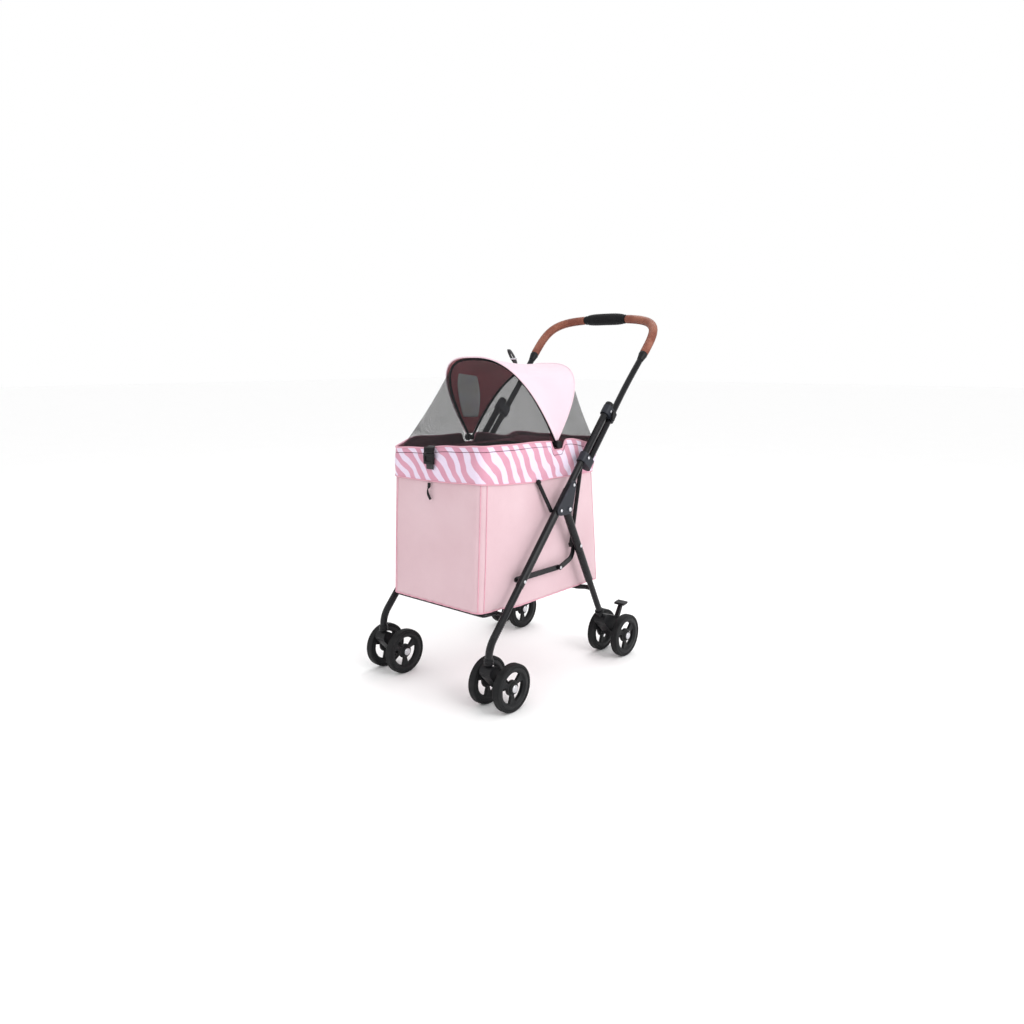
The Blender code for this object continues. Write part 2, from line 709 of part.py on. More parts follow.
def make_sleeve(fine):
    """The soft sleeve round the middle of the bow, fatter in its middle."""
    half = stretch_of(fine, 0.0, SLEEVE_HALF_LENGTH, 4)
    path = mirrored(half[:0:-1]) + half
    sleeve = swept("centre_sleeve", path, 1.0, "foam", 3)
    for point in sleeve.data.splines[0].points:
        share = abs(point.co.x) / SLEEVE_HALF_LENGTH
        point.radius = SLEEVE_END_RADIUS + (SLEEVE_RADIUS - SLEEVE_END_RADIUS) * (1 - min(share, 1.0) ** 4)
    sleeve = as_mesh(sleeve)
    core_half = stretch_of(fine, 0.0, SLEEVE_HALF_LENGTH * 1.2, 4)
    core = as_mesh(swept("sleeve_core", mirrored(core_half[:0:-1]) + core_half, HANDLE_RADIUS * FACET_ALLOWANCE, None, 3))
    return smooth(cut(sleeve, core))


def make_lower_sliders():
    """Blocks fixed on the handle tube's feet, which slide on the front tubes."""
    low, high = SLIDER_SPAN
    rivet_place = rail_point(0.0045, 0.589)
    sliders = []
    for label, side in SIDES:
        slider = guide_block(f"lower_slider_{label}", side, SLIDER_SPAN, "gunmetal")
        face = TUBE_X + CLAMP_RADIUS
        rivet = side_rod(f"strut_rivet_{label}", side, face - 0.003, face + 0.0016, rivet_place, 0.0040, 14)
        join(slider, rivet)
        cut(slider,
            rail_bore(f"slider_guide_{label}", side, 0, (low - 0.01, high + 0.01), RAIL_RADIUS + RUNNING_GAP),
            rail_bore(f"slider_socket_{label}", side, HANDLE_OFFSET, (HANDLE_LOW - GAP, high + 0.01),
                      HANDLE_RADIUS + GAP))
        sliders.append(smooth(slider))
    return sliders


# Wheels ------------------------------------------------------------------------------------------------------

def wheel_profile():
    """Half of the wheel's section, mirrored: hub, dished web, rim and rounded tyre."""
    tread = WHEEL_RADIUS / cos(pi / WHEEL_FACETS)
    upper = [(AXLE_RADIUS + GAP, WHEEL_HALF_HUB), (0.0160, WHEEL_HALF_HUB), (0.0175, 0.0055), (0.0450, 0.0055),
             (0.0475, 0.0120), (0.0585, 0.0120), (tread, 0.0060)]
    return upper + [(radius, -height) for radius, height in reversed(upper)]


def wheel_mesh():
    """One wheel with three windows through its web, the first at the top."""
    wheel = turned("wheel_pattern", wheel_profile(), WHEEL_FACETS, "tyre")
    windows = []
    spread = radians(45)
    for number in range(3):
        middle = pi - pi / WHEEL_FACETS + 2 * pi / 3 * number
        outline = [(radius * cos(middle + swing), radius * sin(middle + swing))
                   for radius, swing in ((0.0215, -spread * 0.62), (0.0420, -spread), (0.0420, 0.0),
                                         (0.0420, spread), (0.0215, spread * 0.62))]
        windows.append(as_mesh(extruded(f"wheel_window_{number}", outline, 0.03, Matrix.Identity(4))))
    cut(wheel, *windows)
    made = as_mesh(wheel)
    data = made.data
    bpy.data.objects.remove(made, do_unlink=True)
    data.shade_smooth()
    data.set_sharp_from_angle(angle=radians(40))
    return data


def make_wheels():
    """The eight wheels: an inner and an outer one in each pair."""
    data = wheel_mesh()
    for end, axle_y in (("front", FRONT_AXLE_Y), ("rear", REAR_AXLE_Y)):
        for label, side in SIDES:
            for place, offset in (("outer", WHEEL_OFFSET), ("inner", -WHEEL_OFFSET)):
                wheel = bpy.data.objects.new(f"{end}_wheel_{place}_{label}", data)
                PARTS.objects.link(wheel)
                centre = (side * (TUBE_X + offset), axle_y, WHEEL_RADIUS)
                wheel.matrix_world = (Matrix.Translation(centre) @ Matrix.Rotation(pi / 2, 4, "Y")
                                      @ Matrix.Rotation(pi / WHEEL_FACETS, 4, "Z"))


def axle_profile():
    """A shaft with a wide head at each end, outside the wheels."""
    shoulder = WHEEL_OFFSET + WHEEL_HALF_HUB + GAP
    return [(0.0, shoulder + 0.0022), (0.0085, shoulder + 0.0022), (0.0085, shoulder), (AXLE_RADIUS, shoulder),
            (AXLE_RADIUS, -shoulder), (0.0085, -shoulder), (0.0085, -shoulder - 0.0022), (0.0, -shoulder - 0.0022)]


def make_axle(name, x, axle_y):
    data = bpy.data.meshes.new(name)
    profile = axle_profile()
    data.from_pydata([(radius, 0, height) for radius, height in profile],
                     [(index, index + 1) for index in range(len(profile) - 1)], [])
    axle = link(bpy.data.objects.new(name, data), "steel")
    turn = axle.modifiers.new("turn", "SCREW")
    turn.steps = 12
    turn.render_steps = 12
    turn.use_merge_vertices = True
    turn.merge_threshold = 0.0001
    axle.location = (x, axle_y, WHEEL_RADIUS)
    axle.rotation_euler = (0, pi / 2, 0)
    return axle


def make_casters():
    """Swivelling forks between the front wheels, each with a stem in the front tube's foot."""
    half_width = 0.019
    head_z = FORK_TOP_Z - 0.017
    outline = hull_outline([((SWIVEL_Y, head_z), 0.0170), ((FRONT_AXLE_Y, WHEEL_RADIUS), 0.0160)], 16)
    for label, side in SIDES:
        x = side * TUBE_X
        fork = as_mesh(extruded(f"caster_fork_{label}", outline, 2 * half_width, side_matrix(x), "black_plastic"))
        stem = rod(f"caster_stem_{label}", (x, SWIVEL_Y, head_z), (x, SWIVEL_Y, RAIL_FOOT_Z + 0.022), 0.0058)
        bore = side_rod(f"front_axle_bore_{label}", side, TUBE_X - 0.03, TUBE_X + 0.03,
                        (FRONT_AXLE_Y, WHEEL_RADIUS), AXLE_RADIUS + GAP)
        smooth(cut(join(fork, stem), bore))
        axle = make_axle(f"caster_axle_{label}", x, FRONT_AXLE_Y)
        hang_on(axis_empty(f"caster_axis_{label}", (x, SWIVEL_Y, FORK_TOP_Z)), fork, axle)


# Cabin -------------------------------------------------------------------------------------------------------

def box_shell(name, levels, wall, finish, floor=True, steps=3):
    """A thin shell lofted through level rounded rectangles (size, corner, z), lowest first, open at its top."""
    data = bpy.data.meshes.new(name)
    body = bmesh.new()
    rings = []
    for size, corner, z in levels:
        ring = [body.verts.new(place) for place in ring_path(*size, corner, z, steps)]
        rings.append([body.edges.new((a, b)) for a, b in zip(ring, ring[1:] + ring[:1])])
    for lower, upper in zip(rings, rings[1:]):
        bmesh.ops.bridge_loops(body, edges=lower + upper)
    if floor:
        bmesh.ops.contextual_create(body, geom=rings[0])
    bmesh.ops.recalc_face_normals(body, faces=body.faces)
    body.to_mesh(data)
    body.free()
    shell = link(bpy.data.objects.new(name, data), finish)
    thick = shell.modifiers.new("wall", "SOLIDIFY")
    thick.thickness = wall
    thick.offset = -1.0
    thick.use_even_offset = True
    return shell


def make_cabin():
    """The fabric bag, its overlapping collar, the board in its floor and the mat on that."""
    bag = box_shell("bag_body", [(BAG_BOTTOM, BAG_CORNER, BAG_FLOOR_Z), (BAG_TOP, COLLAR_CORNER, BAG_TOP_Z)],
                    BAG_WALL, "pink")
    smooth(bag, 30)
    low, high = COLLAR_SPAN
    collar = box_shell("collar_band", [(COLLAR_LOW, COLLAR_CORNER, low), (COLLAR_TOP, COLLAR_CORNER, high)],
                       COLLAR_WALL, "stripe", floor=False, steps=5)
    smooth(cut(collar, notch_cutter()), 30)
    half_width, front, rear = BAG_BOTTOM
    inside = BAG_WALL + 0.005
    floor_top = BAG_FLOOR_Z + BAG_WALL
    slab("base_board", (half_width - inside, front + inside, rear - inside), floor_top + GAP, 0.005, "board")
    inside += 0.004
    slab("floor_mat", (half_width - inside, front + inside, rear - inside), floor_top + 0.005 + 2 * GAP, 0.018, "mat")


def notch_cutter():
    """A bar across the stroller that opens the collar's top edge at the hoops' pivots."""
    half_width, bottom = NOTCH
    outline = [(HOOP_PIVOT[0] + half_width * sign, z) for sign, z in ((1, bottom), (1, 0.72), (-1, 0.72), (-1, bottom))]
    return as_mesh(extruded("collar_notch", outline, 2 * COLLAR_TOP[0] + 0.02, side_matrix(0)))


def slab(name, size, low, thickness, finish):
    """A level rectangular slab with rounded upright corners."""
    outline = [(p.x, p.y) for p in ring_path(*size, 0.018, 0, 4)]
    frame = Matrix.Translation((0, 0, low + thickness / 2))
    return extruded(name, outline, thickness, frame, finish)


def make_buckle():
    """The strap over the collar's front that ends in a side-release buckle, and the zip's pull below it."""
    front = COLLAR_LOW[1]
    buckle = as_mesh(slab_upright("strap_buckle", (0.019, 0.026), (-0.012, front - 0.0046, 0.668), 0.008))
    buckle.data.materials.append(FINISH["black_plastic"])
    pull = as_mesh(slab_upright("zip_pull", (0.0045, 0.020), (-0.019, front - 0.0045, 0.573), 0.004))
    pull.data.materials.append(FINISH["black_plastic"])


def slab_upright(name, half_sizes, centre, thickness):
    """A small rounded plate that faces the front."""
    half_width, half_height = half_sizes
    corners = [(half_width, -half_height, 0), (half_width, half_height, 0), (-half_width, half_height, 0),
               (-half_width, -half_height, 0)]
    outline = [(p.x, p.y) for p in rounded(corners, half_width * 0.6, 3, closed=True)]
    frame = Matrix.Translation(centre) @ Matrix.Rotation(pi / 2, 4, "X")
    return extruded(name, outline, thickness, frame)


# Canopy ------------------------------------------------------------------------------------------------------

def hoop_point(hoop, angle, out=0.0):
    """A point of a hoop at an angle round it, 0 at the left pivot and pi at the right one."""
    half_width, height, tilt = hoop
    power = 2 / HOOP_EXPONENT
    across = (half_width + out) * abs(cos(angle)) ** power * (1 if cos(angle) > 0 else -1)
    up = (height + out) * abs(sin(angle)) ** power
    return Vector((across, HOOP_PIVOT[0] - up * sin(tilt), HOOP_PIVOT[1] + up * cos(tilt)))


def make_hoop(name, hoop):
    """A wire hoop with an eye at each end for its pivot pin."""
    steps = 20
    start = 0.004
    path = [hoop_point(hoop, start + (pi - 2 * start) * step / steps) for step in range(steps + 1)]
    wire = as_mesh(swept(name, path, HOOP_RADIUS, "black_plastic", 2))
    for label, side in SIDES:
        eye = side_rod(f"{name}_eye_{label}", side, hoop[0] - 0.0028, hoop[0] + 0.0028, HOOP_PIVOT, 0.0075, 12)
        hole = side_rod(f"{name}_hole_{label}", side, hoop[0] - 0.01, hoop[0] + 0.01, HOOP_PIVOT, 0.0028, 10)
        cut(join(wire, eye), hole)
    return smooth(wire)


def make_hoop_sockets():
    """Round sockets outside the hoops' eyes, each with the pin that the hoops turn on."""
    for label, side in SIDES:
        face = FRONT_HOOP[0] + HOOP_RADIUS + GAP
        socket = side_rod(f"hoop_socket_{label}", side, face, face + 0.008, HOOP_PIVOT, 0.0110, 16)
        socket.data.materials.append(FINISH["black_plastic"])
        pin = side_rod(f"hoop_pin_{label}", side, REAR_HOOP[0] - 0.005, face + 0.004, HOOP_PIVOT, 0.0025, 10)
        smooth(join(socket, pin))


def ruled_sheet(name, first, second, rows, finish):
    """A thin sheet of straight lines between two runs of points."""
    data = bpy.data.meshes.new(name)
    body = bmesh.new()
    grid = []
    for row in range(rows + 1):
        grid.append([body.verts.new(a.lerp(b, row / rows)) for a, b in zip(first, second)])
    for lower, upper in zip(grid, grid[1:]):
        for index in range(len(first) - 1):
            body.faces.new((lower[index], lower[index + 1], upper[index + 1], upper[index]))
    bmesh.ops.recalc_face_normals(body, faces=body.faces)
    body.to_mesh(data)
    body.free()
    sheet = link(bpy.data.objects.new(name, data), finish)
    thick = sheet.modifiers.new("wall", "SOLIDIFY")
    thick.thickness = SHEET_WALL
    thick.offset = 0.0
    return smooth(sheet, 60)


def hoop_run(hoop, out, steps, start):
    """Points along a hoop that stay clear of its pivots."""
    return [hoop_point(hoop, start + (pi - 2 * start) * step / steps, out) for step in range(steps + 1)]


def rim_run(direction, steps):
    """Points along the front (-1) or rear (1) half of the collar's top, from left to right."""
    half_width, front, rear = COLLAR_TOP
    inset = 0.0060
    end = (front + inset) if direction < 0 else (rear - inset)
    near = HOOP_PIVOT[0] + direction * 0.024
    half_width -= inset
    corners = [(half_width, near, MESH_LOW_Z), (half_width, end, MESH_LOW_Z), (-half_width, end, MESH_LOW_Z),
               (-half_width, near, MESH_LOW_Z)]
    path = rounded(corners, COLLAR_CORNER, 8)
    length = sum((b - a).length for a, b in zip(path, path[1:]))
    return stretch_of(path, 0.0, length * 0.99999, steps)


def make_canopy():
    """The cloth over both hoops and the mesh before and behind them."""
    steps = 18
    clear = HOOP_RADIUS + 0.0025
    ruled_sheet("canopy_sheet", hoop_run(FRONT_HOOP, clear, steps, 0.04),
                hoop_run(REAR_HOOP, clear + 0.006, steps, 0.04), 3, "canopy")
    front_edge = [p + Vector((0, -0.0065, 0.0)) for p in hoop_run(FRONT_HOOP, -0.002, steps, 0.14)]
    ruled_sheet("front_mesh", front_edge, rim_run(-1, steps), 3, "mesh")
    rear_edge = [p + Vector((0, 0.0065, 0.0)) for p in hoop_run(REAR_HOOP, -0.002, steps, 0.14)]
    ruled_sheet("rear_mesh", rear_edge, rim_run(1, steps), 3, "mesh")


# Build -------------------------------------------------------------------------------------------------------

def main():
    make_front_legs()
    make_hub_plates()
    make_upper_clamps()
    make_clamp_levers()
    make_front_cross_bar()
    make_rim_frame()
    make_rim_stays()
    make_cabin()
    make_buckle()
    make_hoop_sockets()
    make_hoop("rear_hoop", REAR_HOOP)
    front_hoop = make_hoop("front_hoop", FRONT_HOOP)
    hang_on(axis_empty("canopy_axis", (0, *HOOP_PIVOT)), front_hoop)
    make_canopy()
    handle = make_handle() + make_lower_sliders()
    hang_on(axis_empty("handle_slide_axis", (0, *rail_point(HANDLE_OFFSET, HANDLE_LOW))), *handle)
    rear = make_rear_legs() + [make_rear_cross_bar()] + make_rear_housings()
    rear += [make_axle(f"rear_axle_{label}", side * TUBE_X, REAR_AXLE_Y) for label, side in SIDES]
    hang_on(axis_empty("frame_fold_axis", (0, *HUB_PIVOT)), *rear)
    make_brake_pedals()
    make_struts()
    make_curved_links()
    make_front_links()
    make_casters()
    make_wheels()


clear_scene()
PARTS = new_collection("pet_stroller")
CUTTERS = new_collection("cutters")
FINISH = make_materials()
main()
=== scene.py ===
"""Looks of a folding pet stroller: cloth cabin, hooped canopy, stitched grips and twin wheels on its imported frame."""

import logging
from collections.abc import Callable, Iterable, Iterator, Sequence
from contextlib import contextmanager
from dataclasses import dataclass
from enum import Enum
from math import atan2, cos, hypot, pi, radians, sin

import bmesh
import bpy
from mathutils import Matrix, Vector
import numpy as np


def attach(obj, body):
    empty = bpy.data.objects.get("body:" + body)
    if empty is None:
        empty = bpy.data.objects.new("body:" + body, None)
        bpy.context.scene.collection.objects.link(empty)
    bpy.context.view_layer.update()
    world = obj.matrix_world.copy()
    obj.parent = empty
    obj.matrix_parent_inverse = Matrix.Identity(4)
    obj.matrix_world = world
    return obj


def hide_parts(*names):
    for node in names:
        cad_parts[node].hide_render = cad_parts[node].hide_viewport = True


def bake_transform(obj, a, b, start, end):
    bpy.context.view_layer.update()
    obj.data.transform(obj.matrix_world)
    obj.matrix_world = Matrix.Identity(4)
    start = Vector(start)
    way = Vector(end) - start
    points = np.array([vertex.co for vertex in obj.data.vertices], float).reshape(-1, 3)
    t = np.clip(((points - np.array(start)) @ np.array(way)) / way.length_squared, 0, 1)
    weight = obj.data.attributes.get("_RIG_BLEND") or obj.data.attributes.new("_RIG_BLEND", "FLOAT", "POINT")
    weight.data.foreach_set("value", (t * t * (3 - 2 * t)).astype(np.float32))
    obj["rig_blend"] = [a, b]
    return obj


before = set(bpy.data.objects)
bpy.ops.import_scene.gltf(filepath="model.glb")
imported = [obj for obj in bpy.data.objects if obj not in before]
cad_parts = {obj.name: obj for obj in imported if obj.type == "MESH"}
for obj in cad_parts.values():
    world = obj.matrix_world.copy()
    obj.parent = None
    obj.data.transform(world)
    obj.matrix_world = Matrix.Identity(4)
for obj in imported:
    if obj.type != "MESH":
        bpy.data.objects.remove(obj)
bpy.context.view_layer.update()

log = logging.getLogger("pet_stroller")
Place = tuple[float, float, float]
SIDES = (("left", 1), ("right", -1))

# Places shared by several sub-assemblies, in metres. (y, z) pairs lie in the side plane.
TUBE_X = 0.212
RAIL_ANGLE = radians(48.7)
RAIL_BASE = (-0.3838, 0.2065)
HANDLE_OFFSET = 0.030
HUB_PIVOT = (-0.0805, 0.507)
LEG_ANGLE = radians(62.35)
HOOP_PIVOT = (-0.0728, 0.688)
LEG_RADIUS = 0.0125
LEG_FLATTENING = 0.88
PLATE_GAP = 0.0006
PLATE_THICKNESS = 0.0035


def rail_point(across: float, along: float) -> tuple[float, float]:
    """Find a point near a front tube.

    Args:
        across: Distance behind the tube's axis.
        along: Distance up the tube.

    Returns:
        Its y and z.
    """
    return (RAIL_BASE[0] + along * cos(RAIL_ANGLE) + across * sin(RAIL_ANGLE),
            RAIL_BASE[1] + along * sin(RAIL_ANGLE) - across * cos(RAIL_ANGLE))


def leg_point(distance: float) -> tuple[float, float]:
    """Find the y and z of a point on a rear leg's axis, this far down from the hub."""
    return HUB_PIVOT[0] + distance * cos(LEG_ANGLE), HUB_PIVOT[1] - distance * sin(LEG_ANGLE)


def ease(value: float, low: float, high: float) -> float:
    """Rise smoothly from 0 at low to 1 at high."""
    share = min(max((value - low) / (high - low), 0.0), 1.0)
    return share * share * (3 - 2 * share)


# Work at the bench -------------------------------------------------------------------------------------------

def deselect() -> None:
    """Leave nothing selected, in object mode."""
    if bpy.context.mode != "OBJECT":
        bpy.ops.object.mode_set(mode="OBJECT")
    bpy.ops.object.select_all(action="DESELECT")


def take_up(piece: bpy.types.Object) -> None:
    """Make this piece the only selected one, and active."""
    deselect()
    piece.select_set(True)
    bpy.context.view_layer.objects.active = piece


def started(name: str) -> bpy.types.Object:
    """Name the primitive that was just added."""
    piece = bpy.context.object
    piece.name = name
    piece.data.name = name
    return piece


@contextmanager
def editing(piece: bpy.types.Object, kind: str = "VERT") -> Iterator[bmesh.types.BMesh]:
    """Open a piece in edit mode.

    Args:
        piece: The piece to edit.
        kind: What is selected: VERT, EDGE or FACE.

    Yields:
        Its edit mesh.
    """
    take_up(piece)
    bpy.ops.object.mode_set(mode="EDIT")
    bpy.ops.mesh.select_mode(type=kind)
    yield bmesh.from_edit_mesh(piece.data)
    bpy.ops.object.mode_set(mode="OBJECT")


def pick_faces(mesh: bmesh.types.BMesh, test: Callable[[bmesh.types.BMFace], bool]) -> None:
    """Select only the faces that pass the test."""
    bpy.ops.mesh.select_all(action="DESELECT")
    for face in mesh.faces:
        if test(face):
            face.select_set(True)


def finish_with(piece: bpy.types.Object, kind: str, **settings: object) -> None:
    """Add a modifier to a piece and apply it.

    Args:
        piece: The piece to change.
        kind: The modifier's type.
        settings: Its settings.
    """
    take_up(piece)
    modifier = piece.modifiers.new(kind.lower(), kind)
    for key, value in settings.items():
        setattr(modifier, key, value)
    bpy.ops.object.modifier_apply(modifier=modifier.name)


def smooth(piece: bpy.types.Object, degrees: float = 35.0) -> bpy.types.Object:
    """Shade a piece smooth up to an angle between its faces."""
    take_up(piece)
    bpy.ops.object.shade_smooth_by_angle(angle=radians(degrees))
    return piece


def settle(piece: bpy.types.Object, matrix: Matrix | None = None) -> bpy.types.Object:
    """Put a piece in its place and move that place into its mesh.

    Args:
        piece: The piece to place.
        matrix: Where it goes, or None where it stays.

    Returns:
        The same piece.
    """
    if matrix is not None:
        piece.matrix_world = matrix
    take_up(piece)
    bpy.ops.object.transform_apply(location=True, rotation=True, scale=True)
    return piece


def tidy(piece: bpy.types.Object) -> bpy.types.Object:
    """Merge doubled points and turn every face outwards."""
    with editing(piece):
        bpy.ops.mesh.select_all(action="SELECT")
        bpy.ops.mesh.remove_doubles(threshold=0.00002)
        bpy.ops.mesh.normals_make_consistent(inside=False)
    return piece


def join_up(name: str, pieces: Sequence[bpy.types.Object]) -> bpy.types.Object:
    """Join several meshes into one piece.

    Args:
        name: The joined piece's name.
        pieces: The meshes.

    Returns:
        The one piece.
    """
    deselect()
    for piece in pieces:
        piece.select_set(True)
    bpy.context.view_layer.objects.active = pieces[0]
    bpy.ops.object.join()
    return started(name)


def copy_of(piece: bpy.types.Object, name: str, matrix: Matrix) -> bpy.types.Object:
    """Copy a piece with its own mesh, and settle the copy somewhere else."""
    made = piece.copy()
    made.data = piece.data.copy()
    made.name = name
    made.data.name = name
    bpy.context.scene.collection.objects.link(made)
    settle(made, matrix)
    if matrix.determinant() < 0:
        with editing(made):
            bpy.ops.mesh.select_all(action="SELECT")
            bpy.ops.mesh.normals_make_consistent(inside=False)
    return made


def scrap(piece: bpy.types.Object) -> None:
    """Throw a pattern away."""
    bpy.data.objects.remove(piece, do_unlink=True)


# Ways of making shapes ---------------------------------------------------------------------------------------

def cloth(name: str, across: int, along: int, place: Callable[[float, float], Vector],
          size: tuple[float, float], closed: bool = False) -> bpy.types.Object:
    """Lay a grid of cloth over a surface.

    Args:
        name: The piece's name.
        across: Faces in the first direction.
        along: Faces in the second.
        place: Gives the point for two shares from 0 to 1.
        size: The cloth's flat size, which its UV map is laid out in.
        closed: Whether its first direction runs round and meets itself.

    Returns:
        The sheet, with no thickness yet.
    """
    deselect()
    bpy.ops.mesh.primitive_grid_add(x_subdivisions=across, y_subdivisions=along, size=1.0)
    piece = started(name)
    data = piece.data
    shares = [(vertex.co.x + 0.5, vertex.co.y + 0.5) for vertex in data.vertices]
    layer = data.uv_layers.active or data.uv_layers.new(name="UVMap")
    for loop in data.loops:
        first, second = shares[loop.vertex_index]
        layer.data[loop.index].uv = (first * size[0], second * size[1])
    for vertex, (first, second) in zip(data.vertices, shares):
        vertex.co = place(first, second)
    if closed:
        tidy(piece)
    return smooth(piece, 60)


def swept(name: str, path: Sequence[Vector], radius: float | Sequence[float], sides: int = 12,
          closed: bool = False) -> bpy.types.Object:
    """Sweep a round section along a path.

    Args:
        name: The piece's name.
        path: The points it follows.
        radius: Its radius, or one for each point.
        sides: Sides of its section, a multiple of four.
        closed: Whether it meets itself.

    Returns:
        The tube, as a mesh.
    """
    deselect()
    bpy.ops.curve.primitive_bezier_curve_add()
    piece = started(name)
    curve = piece.data
    curve.splines.clear()
    line = curve.splines.new("POLY")
    line.points.add(len(path) - 1)
    for index, (point, spot) in enumerate(zip(line.points, path)):
        point.co = (*spot, 1.0)
        point.radius = radius if isinstance(radius, float) else radius[index]
    line.use_cyclic_u = closed
    curve.bevel_depth = 1.0
    curve.bevel_resolution = sides // 2 - 2
    curve.use_fill_caps = not closed
    bpy.ops.object.convert(target="MESH")
    return smooth(tidy(bpy.context.object), 50)


def turned(name: str, profile: Sequence[tuple[float, float]], sides: int = 32) -> bpy.types.Object:
    """Turn a solid on a lathe about Z, from one end of its axis to the other.

    Args:
        name: The piece's name.
        profile: Height and radius at each step.
        sides: Steps round it.

    Returns:
        The closed solid, at the origin.
    """
    deselect()
    height, radius = profile[0]
    bpy.ops.mesh.primitive_circle_add(vertices=sides, radius=radius, fill_type="NGON", location=(0, 0, height))
    piece = started(name)
    settle(piece)
    with editing(piece, "FACE"):
        bpy.ops.mesh.select_all(action="SELECT")
        for next_height, next_radius in profile[1:]:
            bpy.ops.mesh.extrude_region_move(TRANSFORM_OT_translate={"value": (0, 0, next_height - height)})
            scale = next_radius / radius
            bpy.ops.transform.resize(value=(scale, scale, 1), center_override=(0, 0, next_height))
            height, radius = next_height, next_radius
    return smooth(tidy(piece), 40)


def block(name: str, size: Place, centre: Place, bevel: float, segments: int = 3) -> bpy.types.Object:
    """Make a moulded block with rounded edges.

    Args:
        name: The piece's name.
        size: Its full size.
        centre: Its middle.
        bevel: Radius of its edges.
        segments: Faces across each rounded edge.

    Returns:
        The block.
    """
    deselect()
    bpy.ops.mesh.primitive_cube_add(size=1.0, location=centre)
    piece = started(name)
    piece.scale = size
    settle(piece)
    with editing(piece, "EDGE"):
        bpy.ops.mesh.select_all(action="SELECT")
        bpy.ops.mesh.bevel(offset=bevel, segments=segments, affect="EDGES")
    return smooth(piece, 40)


def puffed(piece: bpy.types.Object, voxel: float, pressure: float, cap: float) -> bpy.types.Object:
    """Blow up a pad as stuffed cloth, by a short cloth simulation whose result stays in its mesh.

    Args:
        piece: A closed mesh, slightly smaller than the pad.
        voxel: Size of the cloth's mesh.
        pressure: How hard it is stuffed.
        cap: How far a point may move.

    Returns:
        The pad.
    """
    finish_with(piece, "REMESH", mode="VOXEL", voxel_size=voxel)
    rest = [vertex.co.copy() for vertex in piece.data.vertices]
    simulated = simulate(piece, pressure)
    for vertex, spot, before in zip(piece.data.vertices, simulated, rest):
        step = spot - before
        vertex.co = before + step * min(1.0, cap / max(step.length, 1e-9))
    finish_with(piece, "SMOOTH", factor=0.5, iterations=2)
    finish_with(piece, "SUBSURF", levels=1, render_levels=1)
    return smooth(piece, 70)


def simulate(piece: bpy.types.Object, pressure: float) -> list[Vector]:
    """Run the cloth simulation on a pad.

    Args:
        piece: The pad's mesh.
        pressure: How hard it is stuffed.

    Returns:
        Where its points end up.
    """
    take_up(piece)
    fabric = piece.modifiers.new("fabric", "CLOTH")
    fabric.settings.quality = 5
    fabric.settings.mass = 0.2
    fabric.settings.tension_stiffness = 25
    fabric.settings.use_pressure = True
    fabric.settings.uniform_pressure_force = pressure
    fabric.settings.effector_weights.gravity = 0.0
    last_frame = 20
    fabric.point_cache.frame_end = last_frame
    for number in range(1, last_frame + 1):
        bpy.context.scene.frame_set(number)
    evaluated = piece.evaluated_get(bpy.context.evaluated_depsgraph_get())
    spots = [vertex.co.copy() for vertex in evaluated.data.vertices]
    piece.modifiers.remove(fabric)
    bpy.context.scene.frame_set(1)
    return spots


# Finishes ----------------------------------------------------------------------------------------------------

class Coordinates(Enum):
    """What a finish's pattern is laid out on."""
    OBJECT = "Object"
    UV = "UV"


